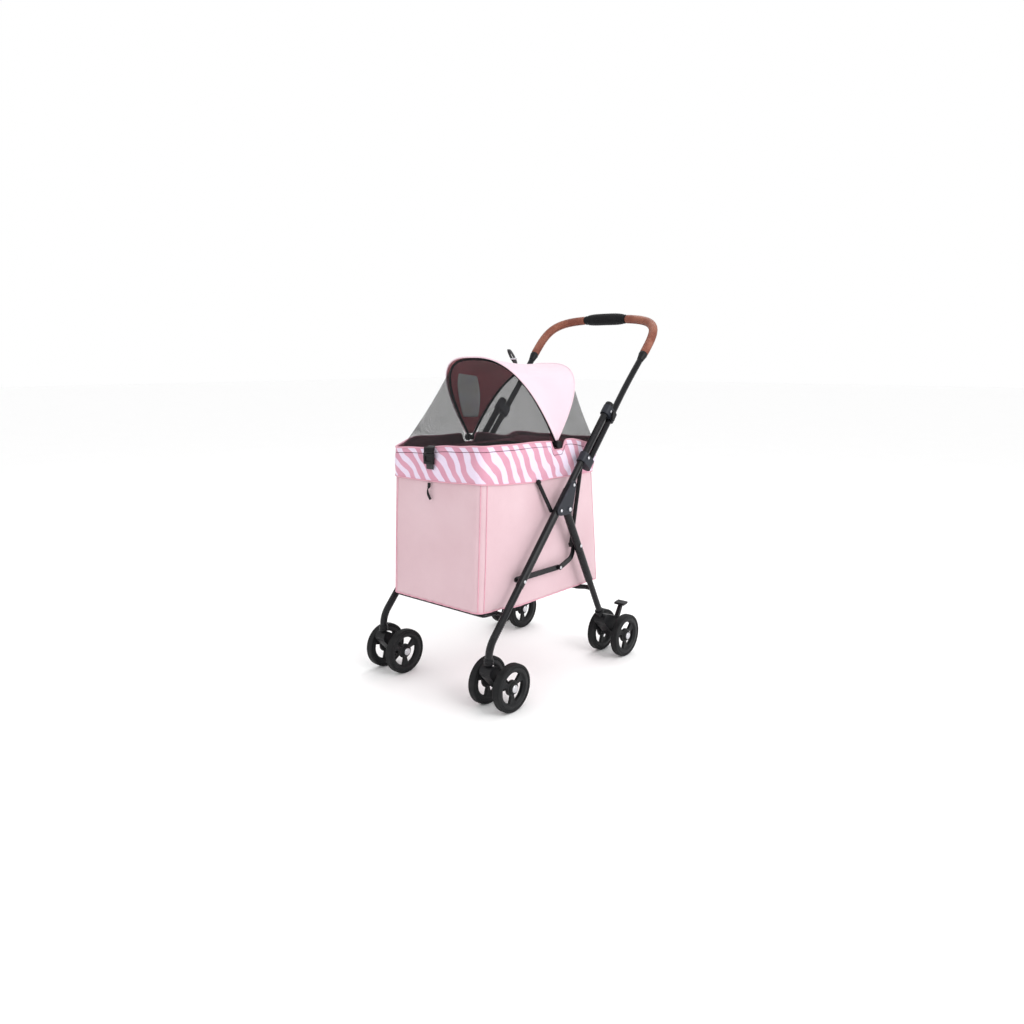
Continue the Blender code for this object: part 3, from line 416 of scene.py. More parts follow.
class NodeDesk:
    """Lays out the shader nodes of one material."""

    def __init__(self, name: str) -> None:
        """Start an empty principled material."""
        self.material = bpy.data.materials.new(name)
        self.material.use_nodes = True
        self.tree = self.material.node_tree
        self.shader = self.tree.nodes["Principled BSDF"]

    def add(self, kind: str, inputs: dict[str | int, object] | None = None, **settings: object) -> bpy.types.Node:
        """Add a node.

        Args:
            kind: Its type, without the leading ShaderNode.
            inputs: Values or sockets for its inputs.
            settings: Its own settings.

        Returns:
            The node.
        """
        node = self.tree.nodes.new("ShaderNode" + kind)
        for key, value in settings.items():
            setattr(node, key, value)
        for key, value in (inputs or {}).items():
            self.feed(node.inputs[key], value)
        return node

    def feed(self, socket: bpy.types.NodeSocket, value: object) -> None:
        """Link a socket to another, or set it to a value."""
        if isinstance(value, bpy.types.NodeSocket):
            self.tree.links.new(value, socket)
        else:
            socket.default_value = value

    def where(self, coordinates: Coordinates) -> bpy.types.NodeSocket:
        """Give the coordinates that a pattern is laid out on."""
        return self.add("TexCoord").outputs[coordinates.value]

    def noise(self, at: object, scale: float, detail: float = 3.0) -> bpy.types.NodeSocket:
        """Give soft noise of this many waves to the metre."""
        return self.add("TexNoise", {"Vector": at, "Scale": scale, "Detail": detail}).outputs["Fac"]

    def math(self, operation: str, first: object, second: object = 0.0, clamp: bool = False) -> bpy.types.NodeSocket:
        """Combine two numbers."""
        return self.add("Math", {0: first, 1: second}, operation=operation, use_clamp=clamp).outputs[0]

    def mix(self, share: object, first: object, second: object) -> bpy.types.NodeSocket:
        """Mix two colours."""
        node = self.add("Mix", data_type="RGBA")
        for socket, value in zip((node.inputs[0], node.inputs[6], node.inputs[7]), (share, first, second)):
            self.feed(socket, (*value, 1.0) if isinstance(value, tuple) and len(value) == 3 else value)
        return node.outputs[2]

    def ramp(self, share: object, low: float, high: float, to_low: float = 0.0, to_high: float = 1.0) -> object:
        """Map a number from one range to another, and keep it there."""
        return self.add("MapRange", {0: share, 1: low, 2: high, 3: to_low, 4: to_high}).outputs[0]

    def bump(self, height: object, distance: float, strength: float = 1.0, on: object = None) -> object:
        """Raise the surface by a height map."""
        inputs = {"Height": height, "Distance": distance, "Strength": strength}
        if on is not None:
            inputs["Normal"] = on
        return self.add("Bump", inputs).outputs[0]

    def split(self, at: object) -> tuple[object, object, object]:
        """Take coordinates apart."""
        node = self.add("SeparateXYZ", {0: at})
        return node.outputs[0], node.outputs[1], node.outputs[2]

    def threads(self, at: object, pitch: float) -> tuple[object, object]:
        """Give the two sets of threads of a plain weave, each from 0 to 1."""
        first, second, _ = self.split(at)
        turn = 2 * pi / pitch
        waves = [self.math("SINE", self.math("MULTIPLY", part, turn)) for part in (first, second)]
        return tuple(self.ramp(wave, -1.0, 1.0) for wave in waves)

    def set(self, **values: object) -> None:
        """Set the shader's own sockets, with _ for the spaces in their names."""
        for key, value in values.items():
            socket = self.shader.inputs[key.replace("_", " ")]
            self.feed(socket, (*value, 1.0) if isinstance(value, tuple) and len(value) == 3 else value)


Colour = tuple[float, float, float]


@dataclass(frozen=True)
class Finish:
    """A finish of this stroller: a name, a colour and how rough it is."""
    name: str
    colour: Colour
    roughness: float

    def make(self) -> bpy.types.Material:
        """Make the material, or find it if it is there."""
        known = bpy.data.materials.get(self.name)
        if known is not None:
            return known
        desk = NodeDesk(self.name)
        self.lay_out(desk)
        return desk.material

    def lay_out(self, desk: NodeDesk) -> None:
        """Lay out the material's nodes."""
        raise NotImplementedError


@dataclass(frozen=True)
class GlossPaint(Finish):
    """Powder coat: faint orange peel, a little dust and worn patches."""
    peel: float = 420.0

    def lay_out(self, desk: NodeDesk) -> None:
        """Lay out the material's nodes."""
        at = desk.where(Coordinates.OBJECT)
        dust = desk.ramp(desk.noise(at, 26.0, 4.0), 0.45, 0.75)
        desk.set(Base_Color=desk.mix(desk.math("MULTIPLY", dust, 0.2), self.colour, (0.03, 0.029, 0.029)),
                 Roughness=desk.ramp(desk.noise(at, 60.0), 0.3, 0.8, self.roughness, self.roughness + 0.12),
                 Normal=desk.bump(desk.noise(at, self.peel, 2.0), 0.00012, 0.5), Specular_IOR_Level=0.16,
                 Coat_Weight=0.12, Coat_Roughness=0.08)


@dataclass(frozen=True)
class Moulded(Finish):
    """Moulded plastic with a fine spark-eroded grain and scuffs."""
    grain: float = 1500.0

    def lay_out(self, desk: NodeDesk) -> None:
        """Lay out the material's nodes."""
        at = desk.where(Coordinates.OBJECT)
        scuff = desk.ramp(desk.noise(at, 45.0, 6.0), 0.56, 0.72)
        lighter = tuple(min(1.0, part * 1.7 + 0.006) for part in self.colour)
        desk.set(Base_Color=desk.mix(desk.math("MULTIPLY", scuff, 0.5), self.colour, lighter),
                 Roughness=desk.ramp(desk.noise(at, 90.0), 0.3, 0.7, self.roughness - 0.06, self.roughness + 0.08),
                 Normal=desk.bump(desk.noise(at, self.grain, 2.0), 0.00018, 0.55), Specular_IOR_Level=0.2)


@dataclass(frozen=True)
class BareMetal(Finish):
    """Plated steel with fine brushed lines."""

    def lay_out(self, desk: NodeDesk) -> None:
        """Lay out the material's nodes."""
        at = desk.where(Coordinates.OBJECT)
        lines = desk.add("Mapping", {"Vector": at, "Scale": (40.0, 900.0, 900.0)}).outputs[0]
        brushed = desk.noise(lines, 1.0, 2.0)
        desk.set(Base_Color=desk.mix(brushed, self.colour, tuple(part * 0.78 for part in self.colour)),
                 Metallic=1.0, Roughness=desk.ramp(brushed, 0.3, 0.7, self.roughness, self.roughness + 0.15),
                 Normal=desk.bump(brushed, 0.00005, 0.3))


@dataclass(frozen=True)
class GrainLeather(Finish):
    """Leather with pebbled grain, creases darkened with painted shade, and worn, lighter patches."""
    worn: Colour = (0.36, 0.13, 0.075)

    def lay_out(self, desk: NodeDesk) -> None:
        """Lay out the material's nodes."""
        at = desk.where(Coordinates.OBJECT)
        pebbles = desk.add("TexVoronoi", {"Vector": at, "Scale": 620.0}, feature="DISTANCE_TO_EDGE").outputs[0]
        creases = desk.ramp(pebbles, 0.0, 0.12)
        worn = desk.ramp(desk.noise(at, 22.0, 5.0), 0.42, 0.72)
        # Painted shade: the creases between the pebbles are darkened to 0.55 of the colour.
        deep = tuple(part * 0.55 for part in self.colour)
        body = desk.mix(worn, self.colour, self.worn)
        desk.set(Base_Color=desk.mix(creases, deep, body),
                 Roughness=desk.ramp(worn, 0.0, 1.0, self.roughness + 0.08, self.roughness - 0.08),
                 Normal=desk.bump(creases, 0.0003, 0.6), Specular_IOR_Level=0.4, Coat_Weight=0.08,
                 Coat_Roughness=0.35)


@dataclass(frozen=True)
class Rubber(Finish):
    """Foam or tyre rubber: pitted, with pale dust in its pits."""
    pits: float = 700.0
    dust: Colour = (0.09, 0.088, 0.085)

    def lay_out(self, desk: NodeDesk) -> None:
        """Lay out the material's nodes."""
        at = desk.where(Coordinates.OBJECT)
        pits = desk.noise(at, self.pits, 4.0)
        dust = desk.ramp(desk.noise(at, 35.0, 5.0), 0.5, 0.8, 0.0, 0.45)
        desk.set(Base_Color=desk.mix(dust, self.colour, self.dust),
                 Roughness=desk.ramp(pits, 0.3, 0.7, self.roughness - 0.05, self.roughness + 0.1),
                 Normal=desk.bump(pits, 0.0003, 0.6), Specular_IOR_Level=0.18)


@dataclass(frozen=True)
class Woven(Finish):
    """Plain-woven cloth with threads, slubs, slow changes of tone and painted shade between the threads, on the cloth's
    own UV map.
    """
    shade: Colour = (0.7, 0.5, 0.55)
    pitch: float = 0.0011
    sheen: float = 0.25
    coordinates: Coordinates = Coordinates.UV

    def lay_out(self, desk: NodeDesk) -> None:
        """Lay out the material's nodes."""
        at = desk.where(self.coordinates)
        self.weave(desk, at, self.body_colour(desk, at))

    def body_colour(self, desk: NodeDesk, at: object) -> object:
        """Give the cloth's colour before its threads."""
        return desk.mix(desk.ramp(desk.noise(at, 5.0, 4.0), 0.3, 0.75), self.colour, self.shade)

    def weave(self, desk: NodeDesk, at: object, colour: object) -> None:
        """Weave threads into a colour, with painted shade in the gaps between them."""
        warp, weft = desk.threads(at, self.pitch)
        cloth_height = desk.math("MAXIMUM", warp, weft)
        slubs = desk.noise(desk.add("Mapping", {"Vector": at, "Scale": (60.0, 900.0, 60.0)}).outputs[0], 1.0, 2.0)
        # Painted shade: the gaps between the threads are darkened towards 0.45 of the second tone.
        gap = desk.math("MULTIPLY", desk.math("SUBTRACT", 1.0, cloth_height), 0.35)
        shaded = desk.mix(gap, colour, tuple(part * 0.45 for part in self.shade))
        wrinkles = desk.bump(desk.noise(at, 16.0, 3.0), 0.006, 0.35)
        threads = desk.bump(desk.math("ADD", cloth_height, desk.math("MULTIPLY", slubs, 0.4)), 0.00025, 0.7,
                            wrinkles)
        desk.set(Base_Color=shaded, Roughness=self.roughness, Normal=threads, Sheen_Weight=self.sheen,
                 Sheen_Roughness=0.4, Specular_IOR_Level=0.25)


@dataclass(frozen=True)
class StripedCloth(Woven):
    """Woven cloth printed with wavy slanting stripes, like a zebra's."""
    pale: Colour = (0.8, 0.7, 0.85)
    stripe_pitch: float = 0.047

    def body_colour(self, desk: NodeDesk, at: object) -> object:
        """Give the stripes' colour."""
        along, up, _ = desk.split(at)
        wander = desk.ramp(desk.noise(at, 9.0, 2.0), 0.25, 0.75, -0.35, 0.35)
        slant = desk.math("MULTIPLY", up, -0.75 / self.stripe_pitch)
        run = desk.math("ADD", desk.math("DIVIDE", along, self.stripe_pitch), slant)
        wave = desk.math("SINE", desk.math("MULTIPLY", desk.math("ADD", run, wander), 2 * pi))
        stripe = desk.ramp(wave, -0.12, 0.18)
        ground = desk.mix(desk.ramp(desk.noise(at, 14.0), 0.35, 0.7), self.colour, self.shade)
        return desk.mix(stripe, ground, self.pale)


@dataclass(frozen=True)
class Net(Finish):
    """See-through net of slanting threads, with painted shade at their thin edges."""
    pitch: float = 0.0026
    thread: float = 0.78

    def lay_out(self, desk: NodeDesk) -> None:
        """Lay out the material's nodes."""
        at = desk.add("Mapping", {"Vector": desk.where(Coordinates.UV), "Rotation": (0, 0, radians(45))}).outputs[0]
        warp, weft = desk.threads(at, self.pitch)
        thickest = desk.math("MAXIMUM", warp, weft)
        # Painted shade: the threads darken to half the colour towards their thin edges and the gaps.
        desk.set(Base_Color=desk.mix(thickest, tuple(part * 0.5 for part in self.colour), self.colour),
                 Roughness=self.roughness, Alpha=desk.ramp(thickest, self.thread, self.thread + 0.06, 0.04, 0.92),
                 Normal=desk.bump(thickest, 0.0004, 0.6), Specular_IOR_Level=0.2)


@dataclass(frozen=True)
class Webbing(Finish):
    """Strap webbing with chevron ribs, and painted shade in the valleys between them."""
    pitch: float = 0.0016

    def lay_out(self, desk: NodeDesk) -> None:
        """Lay out the material's nodes."""
        at = desk.where(Coordinates.OBJECT)
        first, _, up = desk.split(at)
        fold = desk.math("PINGPONG", first, 0.004)
        rib = desk.math("SINE", desk.math("MULTIPLY", desk.math("ADD", up, fold), 2 * pi / self.pitch))
        height = desk.math("ADD", desk.math("MULTIPLY", rib, 0.5), 0.5)
        # Painted shade: the valleys between the ribs are darkened to half the colour.
        desk.set(Base_Color=desk.mix(height, tuple(part * 0.5 for part in self.colour), self.colour),
                 Roughness=self.roughness, Normal=desk.bump(height, 0.0003, 0.7), Sheen_Weight=0.2)


@dataclass(frozen=True)
class PearlFilm(Finish):
    """A blank patch of pearly film that shifts between pale green and pale blue."""
    second: Colour = (0.82, 0.93, 0.99)

    def lay_out(self, desk: NodeDesk) -> None:
        """Lay out the material's nodes."""
        at = desk.where(Coordinates.OBJECT)
        shift = desk.ramp(desk.noise(at, 24.0, 3.0), 0.3, 0.7)
        speckle = desk.noise(at, 700.0, 2.0)
        desk.set(Base_Color=desk.mix(shift, self.colour, self.second),
                 Roughness=desk.ramp(speckle, 0.3, 0.7, self.roughness, self.roughness + 0.15),
                 Normal=desk.bump(speckle, 0.0001, 0.4), Coat_Weight=0.5)


BLACK_PAINT = GlossPaint("gloss_black_tube", (0.006, 0.006, 0.0075), 0.20)
GUNMETAL = Moulded("gunmetal_bracket", (0.020, 0.022, 0.029), 0.36)
BLACK_PLASTIC = Moulded("black_moulding", (0.007, 0.007, 0.008), 0.42)
WHEEL_PLASTIC = Moulded("wheel_moulding", (0.009, 0.0095, 0.0105), 0.45)
STEEL = BareMetal("plated_steel", (0.66, 0.66, 0.69), 0.22)
LEATHER = GrainLeather("stitched_leather", (0.200, 0.048, 0.024), 0.46)
THREAD = Woven("grip_thread", (0.16, 0.045, 0.03), 0.7, shade=(0.1, 0.03, 0.02), coordinates=Coordinates.OBJECT)
SLEEVE_FOAM = Rubber("sleeve_foam", (0.006, 0.006, 0.007), 0.66, pits=900.0, dust=(0.018, 0.018, 0.018))
TYRE_RUBBER = Rubber("tyre_rubber", (0.008, 0.0083, 0.009), 0.6, dust=(0.035, 0.034, 0.033))
PINK_CANVAS = Woven("pink_canvas", (0.71, 0.52, 0.56), 0.82, shade=(0.64, 0.44, 0.48))
PIPING = Woven("pink_piping", (0.74, 0.38, 0.46), 0.75, shade=(0.66, 0.32, 0.4), coordinates=Coordinates.OBJECT)
PALE_PIPING = Woven("pale_piping", (0.85, 0.66, 0.73), 0.75, shade=(0.8, 0.58, 0.66),
                    coordinates=Coordinates.OBJECT)
CANOPY_CLOTH = Woven("pale_canopy_cloth", (0.80, 0.64, 0.71), 0.78, shade=(0.75, 0.58, 0.66))
# Painted shade: the canopy's underside is a darker, redder copy of its pink cloth.
UNDERSIDE_SHADE_CLOTH = Woven("underside_painted_shade_cloth", (0.66, 0.235, 0.265), 0.85, shade=(0.55, 0.185, 0.210))
INNER_CLOTH = Woven("cabin_lining", (0.34, 0.15, 0.18), 0.85, shade=(0.27, 0.11, 0.14))
STRIPES = StripedCloth("striped_cloth", (0.68, 0.34, 0.44), 0.7, shade=(0.62, 0.29, 0.39))
BLACK_NET = Net("black_net", (0.022, 0.022, 0.024), 0.8)
BLACK_WEBBING = Webbing("black_webbing", (0.02, 0.02, 0.022), 0.75)
SEAM_THREAD = Woven("seam_thread", (0.12, 0.05, 0.07), 0.8, shade=(0.08, 0.03, 0.05),
                    coordinates=Coordinates.OBJECT)
PAD_CLOTH = Woven("mat_cloth", (0.36, 0.15, 0.17), 0.9, shade=(0.28, 0.11, 0.13), coordinates=Coordinates.OBJECT)
BOARD = Moulded("stiff_board", (0.05, 0.042, 0.042), 0.7)
LABEL_FILM = PearlFilm("label_film", (0.88, 0.98, 0.93), 0.32)


def dress(piece: bpy.types.Object, *finishes: Finish) -> bpy.types.Object:
    """Give a piece its finishes, one for each of its material slots."""
    piece.data.materials.clear()
    for finish in finishes:
        piece.data.materials.append(finish.make())
    return piece


def mount(piece: bpy.types.Object, body: str, replaced: Iterable[str] = ()) -> bpy.types.Object:
    """Fasten a piece to a body of the frame.

    Args:
        piece: The finished piece.
        body: The body it moves with.
        replaced: The plain nodes that it stands for.

    Returns:
        The same piece.
    """
    replaced = tuple(replaced)
    if replaced:
        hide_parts(*replaced)
    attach(piece, body)
    log.info("%s on %s: %d faces", piece.name, body, len(piece.data.polygons))
    return piece


# Cabin -------------------------------------------------------------------------------------------------------

@dataclass
class Outline:
    """A level rounded rectangle, walked round from the middle of its rear by share of its length."""
    half_width: float
    front: float
    rear: float
    corner: float

    def length(self) -> float:
        """Measure once round."""
        straight = 2 * (2 * self.half_width - 2 * self.corner) + 2 * (self.rear - self.front - 2 * self.corner)
        return straight + 2 * pi * self.corner

    def at(self, share: float) -> tuple[Vector, Vector]:
        """Find a point on the outline.

        Args:
            share: Share of the way round.

        Returns:
            The point, and the way out from it.
        """
        wide, deep = self.half_width - self.corner, (self.rear - self.front) / 2 - self.corner
        middle = (self.rear + self.front) / 2
        left = (share % 1.0) * self.length()
        arc = pi / 2 * self.corner
        runs = [(wide, None), (arc, (wide, deep, pi / 2)), (2 * deep, None), (arc, (wide, -deep, 0.0)),
                (2 * wide, None), (arc, (-wide, -deep, -pi / 2)), (2 * deep, None), (arc, (-wide, deep, -pi)),
                (wide, None)]
        starts = [((0.0, deep + self.corner), (1, 0), (0, 1)), None, ((wide + self.corner, deep), (0, -1), (1, 0)),
                  None, ((wide, -deep - self.corner), (-1, 0), (0, -1)), None,
                  ((-wide - self.corner, -deep), (0, 1), (-1, 0)), None, ((-wide, deep + self.corner), (1, 0), (0, 1))]
        for (length, bend), start in zip(runs, starts):
            if left <= length + 1e-9:
                break
            left -= length
        if bend is None:
            (x, y), (dx, dy), out = start
            return Vector((x + dx * left, middle + y + dy * left, 0)), Vector((*out, 0))
        x, y, angle = bend
        swing = angle - left / self.corner
        out = Vector((cos(swing), sin(swing), 0))
        return Vector((x, middle + y, 0)) + out * self.corner, out


@dataclass
class Cabin:
    """The pink bag that hangs in the frame, with bound corners and a sagging floor."""
    half_width: float = 0.1735
    bottom: tuple[float, float] = (-0.4030, 0.1500)
    top: tuple[float, float] = (-0.3840, 0.1040)
    corner: float = 0.022
    floor_z: float = 0.258
    top_z: float = 0.655
    wall: float = 0.0026

    def outline(self, z: float) -> Outline:
        """Give the bag's outline at a height."""
        share = (z - self.floor_z) / (self.top_z - self.floor_z)
        front = self.bottom[0] + (self.top[0] - self.bottom[0]) * share
        rear = self.bottom[1] + (self.top[1] - self.bottom[1]) * share
        return Outline(self.half_width, front, rear, self.corner)

    def hem_z(self, y: float) -> float:
        """Give the height of the bag's lower edge, which sags behind the front bar."""
        return 0.2600 - 0.0030 * ease(y, -0.400, -0.340) - 0.0105 * ease(y, -0.330, -0.240)

    def place(self, share: float, rise: float) -> Vector:
        """Find a point on the bag's wall.

        Args:
            share: Share of the way round.
            rise: Share of the way up.

        Returns:
            The point.
        """
        level = self.floor_z + (self.top_z - self.floor_z) * rise
        spot, out = self.outline(level).at(share)
        low = self.hem_z(spot.y)
        z = low + (self.top_z - low) * rise
        belly = sin(pi * min(rise / 0.86, 1.0)) ** 2 if rise < 0.86 else 0.0
        flat = min(1.0, abs(abs(out.x) - abs(out.y)))
        swell = 0.0022 * belly * flat
        creases = 0.0006 * sin(37 * spot.x + 55 * z) * sin(41 * spot.y - 23 * z) * flat
        tucks = 0.0010 * sin(190 * (spot.x + spot.y)) * (1 - ease(rise, 0.0, 0.07)) * flat
        lift = out * (swell + creases * belly + tucks)
        return Vector((spot.x, spot.y, z)) + lift

    def build(self) -> None:
        """Make the bag with its floor, bindings and piping."""
        round_it = self.outline(self.floor_z).length()
        height = self.top_z - self.floor_z
        bag = cloth("cabin_bag", 240, 60, self.place, (round_it, height), closed=True)
        self.close_floor(bag)
        dress(bag, PINK_CANVAS, INNER_CLOTH)
        finish_with(bag, "SOLIDIFY", thickness=self.wall, offset=-1.0, material_offset=1, material_offset_rim=0)
        mount(bag, "frame", ["bag_body"])
        self.bind_edges()

    def close_floor(self, bag: bpy.types.Object) -> None:
        """Draw the bag's lower edge in to its middle, and close the floor there."""
        middle = (0.0, sum(self.bottom) / 2, self.floor_z)
        with editing(bag, "EDGE") as mesh:
            bpy.ops.mesh.select_all(action="DESELECT")
            for edge in mesh.edges:
                if edge.is_boundary and edge.verts[0].co.z < self.floor_z + 0.05:
                    edge.select_set(True)
            for scale in (0.96, 0.88, 0.75, 0.5, 0.2):
                bpy.ops.mesh.extrude_region_move(TRANSFORM_OT_translate={"value": (0, 0, 0)})
                bpy.ops.transform.resize(value=(scale, scale, 1), center_override=middle)
            bpy.ops.mesh.edge_face_add()
            bpy.ops.mesh.select_all(action="SELECT")
            bpy.ops.mesh.normals_make_consistent(inside=False)

    def bind_edges(self) -> None:
        """Make the piping: two lines up each corner and one round the floor."""
        lines = []
        straight = 2 * (self.half_width - self.corner)
        arc = pi / 2 * self.corner
        for number in range(4):
            for side in (0.12, 0.62):
                lines.append(self.corner_line(f"corner_piping_{number}_{side}", number, side, straight, arc))
        lines.append(self.floor_line())
        piping = dress(join_up("cabin_piping", lines), PIPING)
        mount(piping, "frame")

    def corner_line(self, name: str, number: int, side: float, straight: float, arc: float) -> bpy.types.Object:
        """Make one line of piping up the edge of a corner's binding.

        Args:
            name: The line's name.
            number: Which corner, from the left rear one forwards.
            side: Share of the way round the corner.
            straight: Length of the outline's front side.
            arc: Length round a corner.

        Returns:
            The line.
        """
        path = []
        steps, top_share = 24, 0.93
        for step in range(steps + 1):
            rise = step / steps * top_share
            outline = self.outline(self.floor_z + (self.top_z - self.floor_z) * rise)
            deep = outline.rear - outline.front - 2 * self.corner
            starts = (straight / 2, straight / 2 + arc + deep, 1.5 * straight + 2 * arc + deep,
                      1.5 * straight + 3 * arc + 2 * deep)
            share = (starts[number] + arc * side) / outline.length()
            out = outline.at(share)[1]
            path.append(self.place(share, rise) + out * 0.0006)
        return swept(name, path, 0.0013, 8)

    def floor_line(self) -> bpy.types.Object:
        """Make the piping round the floor's edge."""
        steps = 160
        path = [self.place(step / steps, 0.0) + Vector((0, 0, 0.0008)) for step in range(steps)]
        return swept("floor_piping", path, 0.0018, 8, closed=True)


@dataclass
class Collar:
    """The striped band round the cabin's top, with a hem, a seam and notches for the hoops' pivots."""
    half_width: float = 0.1772
    low: tuple[float, float] = (-0.3905, 0.1160)
    high: tuple[float, float] = (-0.3868, 0.1440)
    corner: float = 0.026
    thickness: float = 0.0032
    notch_half: float = 0.019
    notch_z: float = 0.6735
    hem: float = 0.0150

    def low_z(self, spot: Vector) -> float:
        """Give the height of the lower edge, which is highest at the left front corner."""
        front = 0.6000 + 0.0075 * ease(spot.x, 0.02, 0.16)
        side = 0.5985 + 0.0085 * (1 - ease(spot.y, -0.385, -0.300)) - 0.0060 * ease(spot.y, -0.330, -0.160)
        share = ease(spot.y, -0.390, -0.370)
        return front + (side - front) * share + 0.0008 * sin(26 * spot.x + 31 * spot.y)

    def high_z(self, spot: Vector) -> float:
        """Give the height of the upper edge, which dips to the rear and to the right front corner."""
        side = 0.7045 - 0.0045 * ease(spot.y, -0.30, -0.10) - 0.020 * ease(spot.y, -0.03, 0.10)
        side += 0.012 * ease(spot.y, 0.115, 0.143)
        dip = 0.021 * ease(-spot.x, -0.16, 0.16) * (1 - ease(spot.y, -0.385, -0.29))
        wave = 0.0012 * sin(48 * spot.x - 33 * spot.y)
        notch = 1 - ease(abs(spot.y - HOOP_PIVOT[0]), self.notch_half, self.notch_half + 0.016)
        top = side - dip + wave
        return top + (self.notch_z - top) * notch * (1.0 if abs(spot.x) > 0.1 else 0.0)

    def place(self, share: float, rise: float) -> Vector:
        """Find a point on the band's middle surface.

        Args:
            share: Share of the way round.
            rise: Share of the way up.

        Returns:
            The point.
        """
        front = self.low[0] + (self.high[0] - self.low[0]) * rise
        rear = self.low[1] + (self.high[1] - self.low[1]) * rise
        spot, out = Outline(self.half_width, front, rear, self.corner).at(share)
        low, high = self.low_z(spot), self.high_z(spot)
        z = low + (high - low) * rise
        flat = min(1.0, abs(abs(out.x) - abs(out.y)))
        puff = 0.0022 * sin(pi * rise) ** 1.5
        puff -= 0.0016 * (1 - min(1.0, abs(high - self.hem - z) / 0.003))
        creases = 0.0012 * sin(63 * (spot.y - spot.x) + 40 * z) * sin(29 * (spot.x + spot.y)) * flat
        quiet = ease(abs(spot.y - HOOP_PIVOT[0]), 0.01, 0.05)
        return Vector((spot.x, spot.y, z)) + out * (puff + creases * sin(pi * rise) * quiet)

    def build(self) -> None:
        """Make the band, its seam and its rolled edges."""
        length = Outline(self.half_width, *self.low, self.corner).length()
        height = 0.105
        band = cloth("striped_collar", 300, 34, self.place, (length, height), closed=True)
        dress(band, STRIPES, INNER_CLOTH)
        finish_with(band, "SOLIDIFY", thickness=self.thickness, offset=-1.0, material_offset=1)
        mount(band, "frame", ["collar_band"])
        self.roll_edges()

    def roll_edges(self) -> None:
        """Make the rolled hems at the band's edges, and the seam under the upper one."""
        steps = 220
        lower = [self.place(step / steps, 0.0) for step in range(steps)]
        upper = [self.place(step / steps, 1.0) for step in range(steps)]
        hems = [swept("collar_lower_hem", lower, 0.0019, 8, closed=True),
                swept("collar_upper_hem", upper, 0.0022, 8, closed=True)]
        mount(dress(join_up("collar_hems", hems), PIPING), "frame")
        seam = []
        for step in range(steps):
            share = step / steps
            low, high = self.place(share, 0.0), self.place(share, 1.0)
            rise = 1 - self.hem / (high.z - low.z)
            out = Outline(self.half_width, *self.low, self.corner).at(share)[1]
            seam.append(self.place(share, rise) + out * 0.0004)
        mount(dress(swept("collar_seam", seam, 0.0009, 6, closed=True), SEAM_THREAD), "frame")


